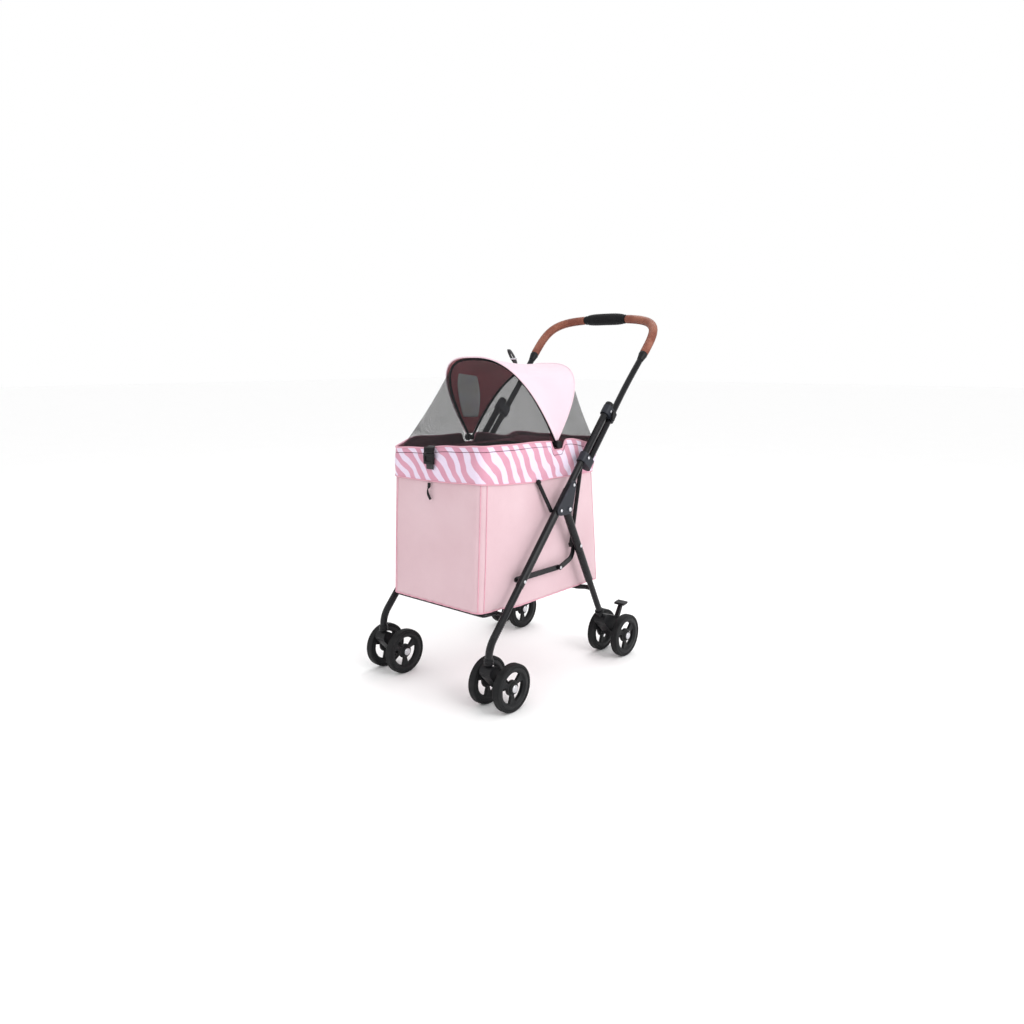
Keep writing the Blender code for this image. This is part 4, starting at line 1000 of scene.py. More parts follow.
@dataclass
class FrontFastening:
    """The strap over the collar's front with its side-release buckle, and the zip's pull below it."""
    x: float = -0.012
    front: float = -0.3950
    buckle_z: float = 0.668
    pull_x: float = -0.019

    def build(self) -> None:
        """Make the strap, the buckle and the pull."""
        self.make_strap()
        self.make_buckle()
        self.make_pull()

    def make_strap(self) -> None:
        """Make the webbing that comes over the collar's top edge and runs through the buckle."""
        line = [(-0.3800, 0.6700), (-0.3812, 0.6860), (-0.3852, 0.6965), (-0.3910, 0.6940), (-0.3942, 0.6820),
                (-0.3962, 0.6600), (-0.3966, 0.6400), (-0.3962, 0.6330)]

        def place(across: float, along: float) -> Vector:
            """Find a point on the strap."""
            step = along * (len(line) - 1)
            index = min(int(step), len(line) - 2)
            first, second = line[index], line[index + 1]
            share = step - index
            return Vector((self.x + (across - 0.5) * 0.030, first[0] + (second[0] - first[0]) * share,
                           first[1] + (second[1] - first[1]) * share))

        strap = cloth("front_strap", 6, 42, place, (0.030, 0.095))
        finish_with(strap, "SOLIDIFY", thickness=0.0014, offset=0.0)
        finish_with(strap, "SUBSURF", levels=1, render_levels=1)
        dress(strap, BLACK_WEBBING)
        mount(smooth(strap, 60), "frame")

    def make_buckle(self) -> None:
        """Make the buckle: a socket with a window, and the two prongs' shoulders."""
        y = self.front - 0.0052
        socket = block("buckle_socket", (0.0380, 0.0078, 0.0300), (self.x, y, self.buckle_z - 0.006), 0.0024)
        with editing(socket, "FACE") as mesh:
            pick_faces(mesh, lambda face: face.normal.y < -0.99)
            bpy.ops.mesh.inset(thickness=0.0050, depth=0.0)
            bpy.ops.mesh.inset(thickness=0.0006, depth=-0.0022)
        plug = block("buckle_plug", (0.0340, 0.0066, 0.0160), (self.x, y, self.buckle_z + 0.0175), 0.0020)
        with editing(plug, "FACE") as mesh:
            pick_faces(mesh, lambda face: face.normal.y < -0.99)
            bpy.ops.mesh.inset(thickness=0.0030, depth=0.0)
            bpy.ops.mesh.inset(thickness=0.0005, depth=-0.0016)
        arms = [block(f"buckle_arm_{side}", (0.0034, 0.0050, 0.0180),
                      (self.x + side * 0.0188, y, self.buckle_z + 0.0010), 0.0014) for side in (-1, 1)]
        bars = [block("buckle_bar", (0.0310, 0.0030, 0.0022), (self.x, y - 0.0030, self.buckle_z + 0.0175), 0.0008)]
        buckle = dress(join_up("side_release_buckle", [socket, plug, *arms, *bars]), BLACK_PLASTIC)
        mount(smooth(buckle, 40), "frame", ["strap_buckle"])

    def make_pull(self) -> None:
        """Make the zip's slider with the curved cord pull that hangs from it."""
        y = self.front + 0.0002
        slider = block("zip_slider", (0.0095, 0.0046, 0.0110), (self.pull_x, y, 0.5900), 0.0016)
        path, radii = [], []
        for step in range(21):
            share = step / 20
            path.append(Vector((self.pull_x + 0.0012 - 0.0058 * sin(pi * share) + 0.0065 * share ** 2,
                                y - 0.0020 - 0.0012 * share, 0.5880 - 0.0370 * share)))
            radii.append(0.0017 + 0.0019 * ease(share, 0.25, 0.7))
        cord = swept("zip_cord", path, radii, 12)
        ring = turned("zip_ring", [(-0.0012, 0.0042), (-0.0006, 0.0050), (0.0006, 0.0050), (0.0012, 0.0042)], 20)
        settle(ring, Matrix.Translation((self.pull_x + 0.001, y - 0.0022, 0.5850)) @ Matrix.Rotation(pi / 2, 4, "X"))
        pull = dress(join_up("zip_pull_cord", [slider, cord, ring]), BLACK_PLASTIC)
        mount(smooth(pull, 45), "frame", ["zip_pull"])


@dataclass
class FloorMat:
    """The quilted pad on the cabin's floor."""
    half_width: float = 0.1560
    ends: tuple[float, float] = (-0.3820, 0.1320)
    low_z: float = 0.2672
    top_z: float = 0.2846
    channel: float = 0.080

    def build(self) -> None:
        """Make the pad, stuff it and sew its channels."""
        middle = sum(self.ends) / 2
        pad = block("quilted_mat", (2 * self.half_width, self.ends[1] - self.ends[0], 0.0105),
                    (0.0, middle, self.low_z + 0.0080), 0.0045, 2)
        puffed(pad, 0.0058, 4.0, 0.007)
        for vertex in pad.data.vertices:
            self.sew(vertex, middle)
        dress(pad, PAD_CLOTH)
        mount(pad, "frame", ["floor_mat"])

    def sew(self, vertex: bpy.types.MeshVertex, middle: float) -> None:
        """Pull a point down into the nearest sewn channel, and keep the pad flat on its board.

        Args:
            vertex: The point.
            middle: The pad's middle along the stroller.
        """
        spot = vertex.co
        gaps = [abs((place / self.channel + 0.5) % 1.0 - 0.5) * self.channel for place in (spot.x, spot.y - middle)]
        depth = 0.0040 * sum(max(0.0, 1 - gap / 0.009) ** 2 for gap in gaps)
        if spot.z > self.low_z + 0.008:
            spot.z -= min(depth, 0.0046)
        spot.z = min(max(spot.z, self.low_z), self.top_z)


# Canopy ------------------------------------------------------------------------------------------------------

@dataclass(frozen=True)
class Hoop:
    """A wire hoop of the canopy."""
    half_width: float
    height: float
    tilt: float

    def at(self, angle: float, out: float = 0.0) -> Vector:
        """Find a point on the hoop.

        Args:
            angle: How far round it, from 0 at the left pivot to pi at the right one.
            out: How far outside the wire's middle.

        Returns:
            The point.
        """
        power = 2 / 2.8
        side = 1 if cos(angle) > 0 else -1
        across = (self.half_width + out) * abs(cos(angle)) ** power * side
        up = (self.height + out) * abs(sin(angle)) ** power
        return Vector((across, HOOP_PIVOT[0] - up * sin(self.tilt), HOOP_PIVOT[1] + up * cos(self.tilt)))


FRONT_HOOP = Hoop(0.171, 0.286, radians(33))
REAR_HOOP = Hoop(0.161, 0.277, radians(-37))


@dataclass
class Canopy:
    """One curved cloth over both hoops, with nets before and behind it.

    The three shares, the cut's area over its flat rectangle's, are not used.
    """
    start: float = 0.016
    front_lift: float = 0.0058
    rear_lift: float = 0.0070
    overhang: float = 0.0085
    sag: float = 0.0095
    wall: float = 0.0014
    fold_body: str = "front_canopy_hoop"
    cover_share: float = 0.53
    front_net_share: float = 0.89
    rear_net_share: float = 0.80
    net_front: float = -0.3795
    net_rear: float = 0.1420
    net_z: float = 0.6715

    def cover_point(self, turn: float, back: float, inside: float = 0.0) -> Vector:
        """Find a point on the canopy's cloth.

        Args:
            turn: Share of the way round, from the left side to the right one.
            back: Share of the way from the front hoop to the rear one, below 0 ahead of the front hoop.
            inside: How far under the cloth.

        Returns:
            The point.
        """
        angle = self.start + (pi - 2 * self.start) * turn
        front = FRONT_HOOP.at(angle, self.front_lift - inside)
        rear = REAR_HOOP.at(angle, self.rear_lift - inside)
        spot = front.lerp(rear, back)
        hub = Vector((spot.x * 0.55, HOOP_PIVOT[0], HOOP_PIVOT[1]))
        inward = (hub - spot).normalized()
        height = min(1.0, (spot.z - HOOP_PIVOT[1]) / 0.12)
        slack = self.sag * 4 * max(back, 0.0) * (1 - min(back, 1.0)) * height
        pulls = 0.0011 * sin(31 * turn + 2.0) * sin(17 * turn * pi + 6 * back) * sin(pi * min(max(back, 0.0), 1.0))
        return spot + inward * (slack + pulls * height)

    def place(self, turn: float, depth: float) -> Vector:
        """Find a point of the whole cloth, with its overhang ahead of the front hoop."""
        reach = self.overhang / 0.30
        return self.cover_point(turn, -reach + (1 + 1.35 * reach) * depth)

    def build(self) -> None:
        """Make the cover with its hems, the nets and the small pieces on them."""
        self.make_cover()
        self.make_hems()
        self.make_net("front_net", FRONT_HOOP, -1, ["front_mesh"])
        self.make_net("rear_net", REAR_HOOP, 1, ["rear_mesh"])
        self.make_label()
        self.make_loop()

    def share_weights(self, piece: bpy.types.Object) -> None:
        """Let a piece fold like a fan: each point turns by its own share of the angle between the hoops.

        A blend runs along one line, and a fan needs shares by angle.

        Args:
            piece: The finished piece.
        """
        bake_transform(piece, self.fold_body, "frame", FRONT_HOOP.at(pi / 2), REAR_HOOP.at(pi / 2))
        weights = piece.data.attributes["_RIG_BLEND"].data
        for vertex, weight in zip(piece.data.vertices, weights):
            tilt = atan2(HOOP_PIVOT[0] - vertex.co.y, max(vertex.co.z - HOOP_PIVOT[1], 1e-6))
            weight.value = min(max((FRONT_HOOP.tilt - tilt) / (FRONT_HOOP.tilt - REAR_HOOP.tilt), 0.0), 1.0)

    def make_cover(self) -> None:
        """Make the cloth, pale outside, with a darker, redder copy of the pink inside as painted shade."""
        length, depth = 0.84, 0.33
        cover = cloth("canopy_cover", 150, 44, self.place, (length, depth))
        with editing(cover) as mesh:
            bpy.ops.mesh.select_all(action="SELECT")
            top = max(mesh.faces, key=lambda face: face.calc_center_median().z)
            if top.normal.z < 0:
                bpy.ops.mesh.flip_normals()
        dress(cover, CANOPY_CLOTH, UNDERSIDE_SHADE_CLOTH)
        finish_with(cover, "SOLIDIFY", thickness=self.wall, offset=-1.0, material_offset=1)
        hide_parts("canopy_sheet")
        self.share_weights(cover)
        log.info("canopy_cover: %d faces", len(cover.data.polygons))

    def make_hems(self) -> None:
        """Make the rolled hems along the cover's front and rear edges."""
        steps = 110
        for name, depth, body in (("canopy_front_hem", 0.0, self.fold_body), ("canopy_rear_hem", 1.0, "frame")):
            hem = swept(name, [self.place(step / steps, depth) for step in range(steps + 1)], 0.0021, 8)
            mount(dress(hem, PALE_PIPING), body)

    def make_net(self, name: str, hoop: Hoop, direction: int, replaced: Sequence[str]) -> None:
        """Make the net between a hoop and the collar.

        Args:
            name: The net's name.
            hoop: The hoop that it hangs from.
            direction: -1 for the front, 1 for the rear.
            replaced: The plain nodes that it stands for.
        """
        rim = Outline(0.1700, self.net_front, self.net_rear, 0.026)
        near = HOOP_PIVOT[0] + direction * 0.0200

        def rim_point(turn: float) -> Vector:
            """Find a point on the net's lower edge."""
            low, high = self.rim_span(rim, near, direction)
            share = low + (high - low) * turn
            spot = rim.at(share / rim.length())[0]
            return Vector((spot.x, spot.y, self.net_z))

        def place(turn: float, drop: float) -> Vector:
            """Find a point on the net, which hollows between its edges."""
            angle = 0.10 + (pi - 0.20) * turn
            high = hoop.at(angle, -0.0010) + Vector((0, 0.0052 * direction, 0))
            spot = high.lerp(rim_point(turn), drop)
            inward = Vector((-spot.x * 0.35, -direction, 0)).normalized()
            hollow = 0.0095 * sin(pi * drop) * sin(pi * min(max(turn, 0.0), 1.0)) ** 0.5
            return spot + inward * hollow + Vector((0, 0, -0.0012 * sin(40 * turn) * sin(pi * drop)))

        size = (0.62, 0.27) if direction < 0 else (0.58, 0.23)
        net = cloth(name, 96, 30, place, size)
        dress(net, BLACK_NET)
        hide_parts(*replaced)
        if direction < 0:
            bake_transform(net, self.fold_body, "frame", hoop.at(pi / 2), Vector((0, self.net_front, self.net_z)))
        else:
            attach(net, "frame")

    def rim_span(self, rim: Outline, near: float, direction: int) -> tuple[float, float]:
        """Find where the net's lower edge starts and ends on the rim.

        Args:
            rim: The rim's outline.
            near: How far along the stroller its ends are.
            direction: -1 for the front, 1 for the rear.

        Returns:
            The two distances round the rim, from the left side to the right one.
        """
        to_side = rim.half_width - rim.corner + pi / 2 * rim.corner + (rim.rear - rim.corner - near)
        if direction < 0:
            return to_side, rim.length() - to_side
        return to_side, -to_side

    def make_label(self) -> None:
        """Make the blank pearly patch sewn on the lining's right side."""
        turns, near, far = (0.715, 0.950), (0.130, 0.150), (0.400, 0.800)

        def place(across: float, along: float) -> Vector:
            """Find a point on the patch."""
            turn = turns[0] + (turns[1] - turns[0]) * along
            edges = [ends[0] + (ends[1] - ends[0]) * along for ends in (near, far)]
            back = edges[0] + (edges[1] - edges[0]) * across
            return self.cover_point(turn, back, self.wall + 0.0012)

        patch = cloth("label_patch", 12, 30, place, (0.075, 0.15))
        with editing(patch) as mesh:
            bpy.ops.mesh.select_all(action="SELECT")
            if sum(face.normal.x for face in mesh.faces) < 0:
                bpy.ops.mesh.flip_normals()
        finish_with(patch, "SOLIDIFY", thickness=0.0006, offset=1.0)
        dress(patch, LABEL_FILM)
        self.share_weights(patch)

    def make_loop(self) -> None:
        """Make the webbing loop on the ridge, with its steel slide."""
        base = self.cover_point(0.5, 0.55) + Vector((0.0, 0.0, 0.0012))
        path = []
        for step in range(25):
            swing = 2 * pi * step / 24
            path.append(base + Vector((0.006 * sin(swing) - 0.012 * (1 - cos(swing)) / 2,
                                       -0.018 * (1 - cos(swing)) / 2, 0.021 * (1 - cos(swing)))))

        def place(across: float, along: float) -> Vector:
            """Find a point on the loop."""
            step = along * 24
            index = min(int(step), 23)
            return path[index].lerp(path[index + 1], step - index) + Vector((0, (across - 0.5) * 0.010, 0))

        loop = cloth("ridge_loop", 4, 48, place, (0.010, 0.112))
        finish_with(loop, "SOLIDIFY", thickness=0.0016, offset=0.0)
        dress(loop, BLACK_WEBBING)
        slide = block("loop_slide", (0.0165, 0.0135, 0.0050), tuple(base + Vector((-0.004, -0.006, 0.015))), 0.0015)
        dress(slide, STEEL)
        for piece in (loop, slide):
            self.share_weights(piece)


# Handle ------------------------------------------------------------------------------------------------------

@dataclass
class Handle:
    """The bow's covers: stitched leather grips, tapered end collars and the soft middle sleeve."""
    top: tuple[float, float] = (0.4163, 1.0593)
    bow_reach: float = 0.2794
    arm_reach: float = 0.286
    straight: float = 0.830
    grip_radius: float = 0.0138
    grip_span: tuple[float, float] = (0.0835, 0.330)
    collar_end: float = 0.358
    sleeve_half: float = 0.0815

    def bow(self, steps: int = 400) -> list[Vector]:
        """Give half of the bow, from its middle to where its arm runs straight."""
        straight = rail_point(HANDLE_OFFSET, self.straight)
        knots = [Vector((0, *self.top)), Vector((self.bow_reach, *self.top)),
                 Vector((TUBE_X, straight[0] + self.arm_reach * cos(RAIL_ANGLE),
                         straight[1] + self.arm_reach * sin(RAIL_ANGLE))),
                 Vector((TUBE_X, *straight))]
        path = []
        for step in range(steps + 1):
            share = step / steps
            weights = ((1 - share) ** 3, 3 * (1 - share) ** 2 * share, 3 * (1 - share) * share ** 2, share ** 3)
            path.append(sum((knot * weight for knot, weight in zip(knots, weights)), Vector()))
        return path

    def stretch(self, start: float, end: float, steps: int, side: int) -> list[Vector]:
        """Give evenly spaced points of the bow.

        Args:
            start: Distance from its middle.
            end: Distance from its middle.
            steps: How many steps between them.
            side: 1 for the left half, -1 for the right one.

        Returns:
            The points.
        """
        path = self.bow()
        marks = [0.0]
        for before, after in zip(path, path[1:]):
            marks.append(marks[-1] + (after - before).length)
        found, index = [], 0
        for step in range(steps + 1):
            wanted = start + (end - start) * step / steps
            while index < len(path) - 2 and marks[index + 1] < wanted:
                index += 1
            share = (wanted - marks[index]) / (marks[index + 1] - marks[index])
            spot = path[index].lerp(path[index + 1], share)
            found.append(Vector((spot.x * side, spot.y, spot.z)))
        return found

    def build(self) -> None:
        """Make both grips with their collars, and the sleeve."""
        for label, side in SIDES:
            self.make_grip(label, side)
            self.make_collar(label, side)
        self.make_sleeve()

    def make_grip(self, label: str, side: int) -> None:
        """Make a leather grip with its seam along the inside of the bow."""
        steps = 64
        path = self.stretch(*self.grip_span, steps, side)
        radii = []
        for step in range(steps + 1):
            edge = min(step, steps - step) / steps
            radii.append(self.grip_radius - 0.0014 * (1 - ease(edge, 0.0, 0.012)) + 0.00012 * sin(step * 1.7))
        grip = dress(swept(f"leather_grip_{label}", path, radii, 28), LEATHER)
        mount(grip, "handle", [f"handle_grip_{label}"])
        self.make_seam(label, path)

    def make_seam(self, label: str, path: Sequence[Vector]) -> None:
        """Sew the grip shut: a raised lip with slanting stitches along the bow's inner side."""
        centre = Vector((0.0, 0.335, 0.93))
        lip = []
        stitches = []
        for index in range(1, len(path) - 1):
            along = (path[index + 1] - path[index - 1]).normalized()
            inward = centre - path[index]
            inward = (inward - along * inward.dot(along)).normalized()
            spot = path[index] + inward * (self.grip_radius - 0.0001)
            lip.append(spot)
            across = along.cross(inward)
            slant = (along * 0.0011 + across * 0.0017)
            stitches.append(swept(f"stitch_{index}", [spot - slant + inward * 0.0001, spot + inward * 0.0007,
                                                      spot + slant + inward * 0.0001], 0.00045, 6))
        seam = join_up(f"grip_seam_{label}", [swept("seam_lip", lip, 0.0006, 6), *stitches])
        mount(dress(seam, THREAD), "handle")

    def make_collar(self, label: str, side: int) -> None:
        """Make the black tapered collar below a grip."""
        path = self.stretch(self.grip_span[1] - 0.0004, self.collar_end, 14, side)
        radii = []
        for step in range(15):
            share = step / 14
            ring = 0.0005 if step in (3, 4) else 0.0
            radii.append(0.0134 - 0.0030 * ease(share, 0.15, 1.0) + ring - 0.0006 * (step in (0, 14)))
        collar = dress(swept(f"grip_collar_{label}", path, radii, 28), BLACK_PLASTIC)
        mount(collar, "handle")

    def make_sleeve(self) -> None:
        """Make the soft sleeve: fat in its middle, ribbed and gathered at its ends."""
        steps = 90
        half = self.stretch(0.0, self.sleeve_half, steps // 2, 1)
        path = [Vector((-spot.x, spot.y, spot.z)) for spot in half[:0:-1]] + half
        radii = []
        for index in range(len(path)):
            share = abs(2 * index / (len(path) - 1) - 1)
            body = 0.0128 + 0.0062 * (1 - share ** 4)
            rib = 0.00045 * sin(index * 1.55) * (1 - ease(share, 0.9, 1.0))
            gather = -0.0012 * max(0.0, 1 - abs(share - 0.88) / 0.05) + 0.0009 * max(0.0, 1 - abs(share - 0.95) / 0.04)
            radii.append(body + rib + gather)
        sleeve = dress(swept("soft_sleeve", path, radii, 32), SLEEVE_FOAM)
        mount(sleeve, "handle", ["centre_sleeve"])


# Wheels ------------------------------------------------------------------------------------------------------

@dataclass
class Wheels:
    """Eight small wheels: a rubber tyre on a three-spoked rim, with a bright hub cap outside."""
    radius: float = 0.067
    offset: float = 0.0435
    half_hub: float = 0.0115
    front_y: float = -0.3675
    rear_y: float = 0.1832
    sides: int = 48
    spokes: int = 3

    def make_rim(self) -> bpy.types.Object:
        """Turn the rim about Z, and cut its three windows."""
        outer = [(-0.0115, 0.0060), (-0.0115, 0.0140), (-0.0104, 0.0155), (-0.0060, 0.0168), (-0.0046, 0.0195),
                 (-0.0042, 0.0215), (-0.0042, 0.0425), (-0.0050, 0.0440), (-0.0088, 0.0462), (-0.0104, 0.0478),
                 (-0.0108, 0.0560), (-0.0096, 0.0578)]
        profile = outer + [(-height, radius) for height, radius in reversed(outer)]
        rim = turned("rim_pattern", profile, self.sides)
        for number in range(self.spokes):
            self.cut_window(rim, pi + 2 * pi / self.spokes * number)
        finish_with(rim, "BEVEL", width=0.0009, segments=2, limit_method="ANGLE", angle_limit=radians(50))
        return smooth(rim, 40)

    def cut_window(self, rim: bpy.types.Object, middle: float) -> None:
        """Cut a window through the rim's web.

        Args:
            rim: The rim, about Z.
            middle: The angle of the window's middle.
        """
        half = radians(45)
        with editing(rim, "FACE") as mesh:
            def in_window(face: bmesh.types.BMFace) -> bool:
                """Tell whether a face of the web lies in the window."""
                spot = face.calc_center_median()
                swing = (atan2(spot.y, spot.x) - middle + pi) % (2 * pi) - pi
                reach = hypot(spot.x, spot.y)
                return abs(swing) < half and 0.0218 < reach < 0.0422 and abs(spot.z) < 0.0050

            pick_faces(mesh, in_window)
            bpy.ops.mesh.bridge_edge_loops()

    def make_tyre(self) -> bpy.types.Object:
        """Shape a tyre with a flat tread and two fine grooves from a ring."""
        deselect()
        middle, half_height, half_width = 0.0618, 0.0052, 0.0112
        bpy.ops.mesh.primitive_torus_add(major_segments=72, minor_segments=32, major_radius=middle,
                                         minor_radius=half_height)
        tyre = started("tyre_pattern")
        for vertex in tyre.data.vertices:
            spot = vertex.co
            reach, swing = hypot(spot.x, spot.y), atan2(spot.y, spot.x)
            turn = atan2(spot.z, reach - middle)
            square = [abs(part) ** 0.55 * (1 if part > 0 else -1) for part in (cos(turn), sin(turn))]
            out = middle + half_height * square[0]
            wide = half_width * square[1]
            if out > middle and 0.0035 < abs(wide) < 0.0065:
                out -= 0.0008
            vertex.co = Vector((out * cos(swing), out * sin(swing), wide))
        return smooth(tidy(tyre), 40)

    def make_cap(self) -> bpy.types.Object:
        """Turn a domed hub cap that stands on the wheel's outer face."""
        base = self.half_hub + 0.0003
        profile = [(base, 0.0110), (base + 0.0016, 0.0110), (base + 0.0024, 0.0104), (base + 0.0032, 0.0086),
                   (base + 0.0038, 0.0060), (base + 0.0041, 0.0030), (base + 0.0042, 0.0006)]
        return turned("cap_pattern", profile, 32)

    def build(self) -> None:
        """Make the patterns and copy them to all eight places."""
        rim, tyre, cap = self.make_rim(), self.make_tyre(), self.make_cap()
        dress(rim, WHEEL_PLASTIC)
        dress(tyre, TYRE_RUBBER)
        dress(cap, STEEL)
        for end, axle_y in (("front", self.front_y), ("rear", self.rear_y)):
            for label, side in SIDES:
                for place, offset in (("outer", self.offset), ("inner", -self.offset)):
                    self.fit_wheel(f"{end}_wheel_{place}_{label}", side * (TUBE_X + offset), axle_y,
                                   side * (1 if offset > 0 else -1), (rim, tyre, cap))
        for pattern in (rim, tyre, cap):
            scrap(pattern)

    def fit_wheel(self, body: str, x: float, axle_y: float, facing: int,
                  patterns: Sequence[bpy.types.Object]) -> None:
        """Put one wheel on its body.

        Args:
            body: The wheel's body, and its plain node.
            x: Where it stands across the stroller.
            axle_y: Where its axle is.
            facing: 1 where its cap faces +X, else -1.
            patterns: Its rim, tyre and cap.
        """
        rim, tyre, cap = patterns
        matrix = Matrix.Translation((x, axle_y, self.radius)) @ Matrix.Rotation(pi / 2 * facing, 4, "Y")
        if facing < 0:
            matrix = matrix @ Matrix.Rotation(pi, 4, "Z")
        mount(copy_of(rim, f"{body}_rim", matrix), body, [body])
        mount(copy_of(tyre, f"{body}_tyre", matrix), body)
        mount(copy_of(cap, f"{body}_cap", matrix), body)


# Hardware ----------------------------------------------------------------------------------------------------

@dataclass(frozen=True)
class Rivet:
    """A domed rivet head on a face that looks to the side."""
    body: str
    x: float
    place: tuple[float, float]
    radius: float


@dataclass
class Hardware:
    """Rivet heads, tube caps, knobs and the casters' collars."""
    leg_face: float = TUBE_X + LEG_RADIUS * LEG_FLATTENING
    plate_face: float = TUBE_X + LEG_RADIUS * LEG_FLATTENING + PLATE_GAP + PLATE_THICKNESS
    clamp_face: float = TUBE_X + 0.0145

    def rivets(self) -> list[Rivet]:
        """List the rivets of the left side."""
        return [Rivet("frame", self.plate_face + 0.0014, rail_point(-0.001, 0.4895), 0.0047),
                Rivet("frame", self.plate_face + 0.0014, rail_point(-0.001, 0.4010), 0.0047),
                Rivet("frame", self.plate_face + 0.0027, HUB_PIVOT, 0.0060),
                Rivet("frame", self.clamp_face - 0.0003, rail_point(0.006, 0.7600), 0.0042),
                Rivet("frame", self.leg_face - 0.0002, rail_point(0.0, 0.168), 0.0048),
                Rivet("handle", self.clamp_face + 0.0014, rail_point(0.0045, 0.589), 0.0046),
                Rivet("rear_legs", TUBE_X + 0.0129, leg_point(0.134), 0.0048),
                Rivet("curved_links", 0.1970 + 0.0022 + 0.0015, (-0.0835, 0.3315), 0.0046)]

    def build(self) -> None:
        """Make all the small hard pieces."""
        self.make_rivets()
        for label, side in SIDES:
            self.make_tube_cap(label, side)
            self.make_stay_knob(label, side)
            self.make_caster_collar(label, side)
            self.make_housing_detail(label, side)

    def make_rivets(self) -> None:
        """Make the rivet heads: shallow domes with a rolled edge."""
        profile = [(0.0, 1.0), (0.18, 1.0), (0.30, 0.90), (0.42, 0.66), (0.47, 0.35), (0.48, 0.06)]
        dome = dress(turned("rivet_pattern", profile, 20), STEEL)
        for number, rivet in enumerate(self.rivets()):
            for label, side in SIDES:
                matrix = (Matrix.Translation((side * rivet.x, *rivet.place))
                          @ Matrix.Rotation(side * pi / 2, 4, "Y") @ Matrix.Scale(rivet.radius, 4))
                mount(copy_of(dome, f"rivet_{number}_{label}", matrix), rivet.body)
        scrap(dome)

    def make_tube_cap(self, label: str, side: int) -> None:
        """Make the rounded cap on a front tube's end, above its clamp."""
        profile = [(0.0, 0.0122), (0.0050, 0.0128), (0.0100, 0.0126), (0.0128, 0.0110), (0.0144, 0.0076),
                   (0.0150, 0.0020)]
        cap = turned(f"tube_cap_{label}", profile, 28)
        y, z = rail_point(0.0, 0.7732)
        settle(cap, Matrix.Translation((side * TUBE_X, y, z)) @ Matrix.Rotation(RAIL_ANGLE - pi / 2, 4, "X"))
        mount(dress(cap, BLACK_PLASTIC), "frame")

    def make_stay_knob(self, label: str, side: int) -> None:
        """Make the rubber end on a stay's top, where it bears on the cabin."""
        deselect()
        bpy.ops.mesh.primitive_uv_sphere_add(segments=24, ring_count=14, radius=0.0078,
                                             location=(side * 0.1818, -0.1668, 0.5900))
        knob = started(f"stay_knob_{label}")
        with editing(knob) as mesh:
            bpy.ops.mesh.select_all(action="DESELECT")
            for vertex in mesh.verts:
                if vertex.co.z < -0.0030:
                    vertex.select_set(True)
            bpy.ops.transform.resize(value=(0.86, 0.86, 1.25))
        settle(knob)
        mount(smooth(dress(knob, BLACK_PLASTIC), 50), "frame")

    def make_caster_collar(self, label: str, side: int) -> None:
        """Make the ribbed collar round a caster's stem, under the front tube's end."""
        profile = [(0.0, 0.0125), (0.0012, 0.0135), (0.0052, 0.0135), (0.0060, 0.0122), (0.0100, 0.0122),
                   (0.0108, 0.0132), (0.0150, 0.0132), (0.0162, 0.0118)]
        collar = turned(f"tube_shoe_{label}", profile, 28)
        settle(collar, Matrix.Translation((side * TUBE_X, -0.4095, 0.1330)))
        mount(dress(collar, BLACK_PLASTIC), "frame")

    def make_housing_detail(self, label: str, side: int) -> None:
        """Make the raised ribs on a caster's fork, and a collar on a rear leg."""
        fork = []
        for number, (y, z, height) in enumerate(((-0.4010, 0.0990, 0.020), (-0.3890, 0.0880, 0.022))):
            fork.append(block(f"fork_rib_{number}", (0.0400, 0.0030, height), (side * TUBE_X, y, z), 0.0010, 2))
        fork_plate = join_up(f"fork_ribs_{label}", fork)
        mount(smooth(dress(fork_plate, BLACK_PLASTIC), 40), f"caster_{label}")
        y, z = leg_point(0.4000)
        ring = turned(f"leg_shoe_{label}", [(0.0, 0.0130), (0.0014, 0.0142), (0.0070, 0.0142), (0.0082, 0.0124)], 28)
        settle(ring, Matrix.Translation((side * TUBE_X, y, z)) @ Matrix.Rotation(pi / 2 - LEG_ANGLE, 4, "X"))
        mount(dress(ring, BLACK_PLASTIC), "rear_legs")


class NodeFinish(Enum):
    """Which finish each kind of plain frame node wears."""
    TUBES = (BLACK_PAINT, ("front_leg", "rim_stay", "front_cross_bar", "rim_frame", "handle_tube", "rear_leg",
                           "rear_cross_bar", "strut", "curved_link", "front_link"))
    BRACKETS = (GUNMETAL, ("hub_plate", "upper_clamp", "lower_slider"))
    MOULDINGS = (BLACK_PLASTIC, ("clamp_lever", "hoop_socket", "rear_housing", "brake_pedal", "caster_fork",
                                 "rear_hoop", "front_hoop"))
    PINS = (STEEL, ("hub_pin", "rear_axle", "caster_axle"))
    BOARDS = (BOARD, ("base_board",))

    @classmethod
    def of(cls, node: str) -> Finish | None:
        """Find a node's finish, or None where another piece stands for the node."""
        stem = node.removesuffix("_left").removesuffix("_right")
        for kind in cls:
            finish, stems = kind.value
            if stem in stems:
                return finish
        return None


def dress_frame() -> None:
    """Give every plain node that stays its finish."""
    for node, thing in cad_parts.items():
        finish = NodeFinish.of(node)
        if finish is None:
            continue
        material = finish.make()
        for index in range(max(1, len(thing.material_slots))):
            if index < len(thing.material_slots):
                thing.material_slots[index].material = material
            else:
                thing.data.materials.append(material)
        log.info("%s: %s", node, material.name)


# Studio ------------------------------------------------------------------------------------------------------

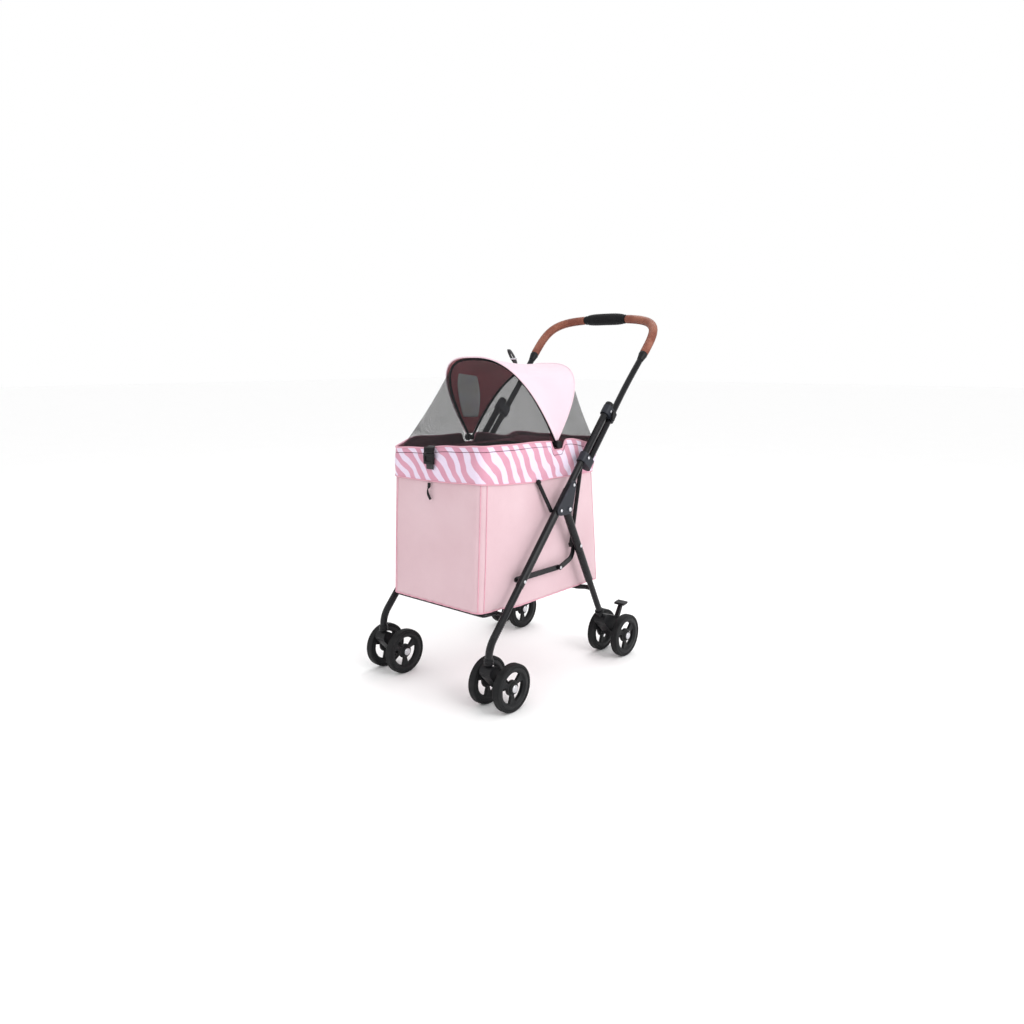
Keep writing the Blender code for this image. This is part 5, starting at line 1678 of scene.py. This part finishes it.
@dataclass
class Studio:
    """Pale floor, soft light and the camera."""
    camera_place: Place = (1.5619, -1.8845, 0.9255)
    yaw: float = radians(40.70)
    pitch: float = radians(10.79)
    lens: float = 28.06

    def build(self) -> None:
        """Set up the whole studio."""
        self.set_camera()
        self.lay_floor()
        self.light()

    def set_camera(self) -> None:
        """Place the camera."""
        deselect()
        bpy.ops.object.camera_add(location=self.camera_place, rotation=(pi / 2 - self.pitch, 0.0, self.yaw))
        camera = bpy.context.object
        camera.data.lens = self.lens
        camera.data.sensor_width = 36.0
        camera.data.clip_start = 0.05
        bpy.context.scene.camera = camera

    def lay_floor(self) -> None:
        """Lay a plain pale floor."""
        deselect()
        bpy.ops.mesh.primitive_plane_add(size=60.0, location=(0, 0, -0.0002))
        floor = bpy.context.object
        floor.name = "studio_floor"
        desk = NodeDesk("pale_floor")
        at = desk.where(Coordinates.OBJECT)
        desk.set(Base_Color=desk.mix(desk.noise(at, 3.0), (0.97, 0.97, 0.97), (0.99, 0.99, 0.99)), Roughness=0.9)
        floor.data.materials.append(desk.material)

    def light(self) -> None:
        """Hang soft lamps: a key on the left side, a fill at the front and one from above and behind."""
        self.lamp("key", (3.3, -0.2, 2.2), (0.0, -0.1, 0.5), 2.4, 66.0)
        self.lamp("fill", (-0.8, -3.2, 1.6), (0.0, -0.1, 0.5), 2.2, 6.0)
        self.lamp("top", (-0.6, 1.6, 3.0), (0.0, 0.0, 0.6), 2.0, 22.0)
        world = bpy.data.worlds.new("studio_sky")
        bpy.context.scene.world = world
        world.use_nodes = True
        backdrop = world.node_tree.nodes["Background"]
        backdrop.inputs["Color"].default_value = (1.0, 1.0, 1.0, 1.0)
        backdrop.inputs["Strength"].default_value = 1.0
        bpy.context.scene.view_settings.view_transform = "Standard"

    def lamp(self, name: str, place: Place, aim: Place, size: float, power: float) -> None:
        """Hang one soft lamp.

        Args:
            name: Its name.
            place: Where it hangs.
            aim: What it points at.
            size: Its width.
            power: Its power.
        """
        deselect()
        bpy.ops.object.light_add(type="AREA", location=place)
        lamp = bpy.context.object
        lamp.name = f"{name}_lamp"
        lamp.data.size = size
        lamp.data.energy = power
        lamp.rotation_euler = (Vector(aim) - Vector(place)).to_track_quat("-Z", "Y").to_euler()


def main() -> None:
    """Build every sub-assembly in order."""
    logging.basicConfig(level=logging.INFO, format="%(name)s: %(message)s")
    Studio().build()
    dress_frame()
    for assembly in (Cabin(), Collar(), FrontFastening(), FloorMat(), Canopy(), Handle(), Wheels(), Hardware()):
        log.info("building %s", type(assembly).__name__)
        assembly.build()


if __name__ == "__main__":
    main()
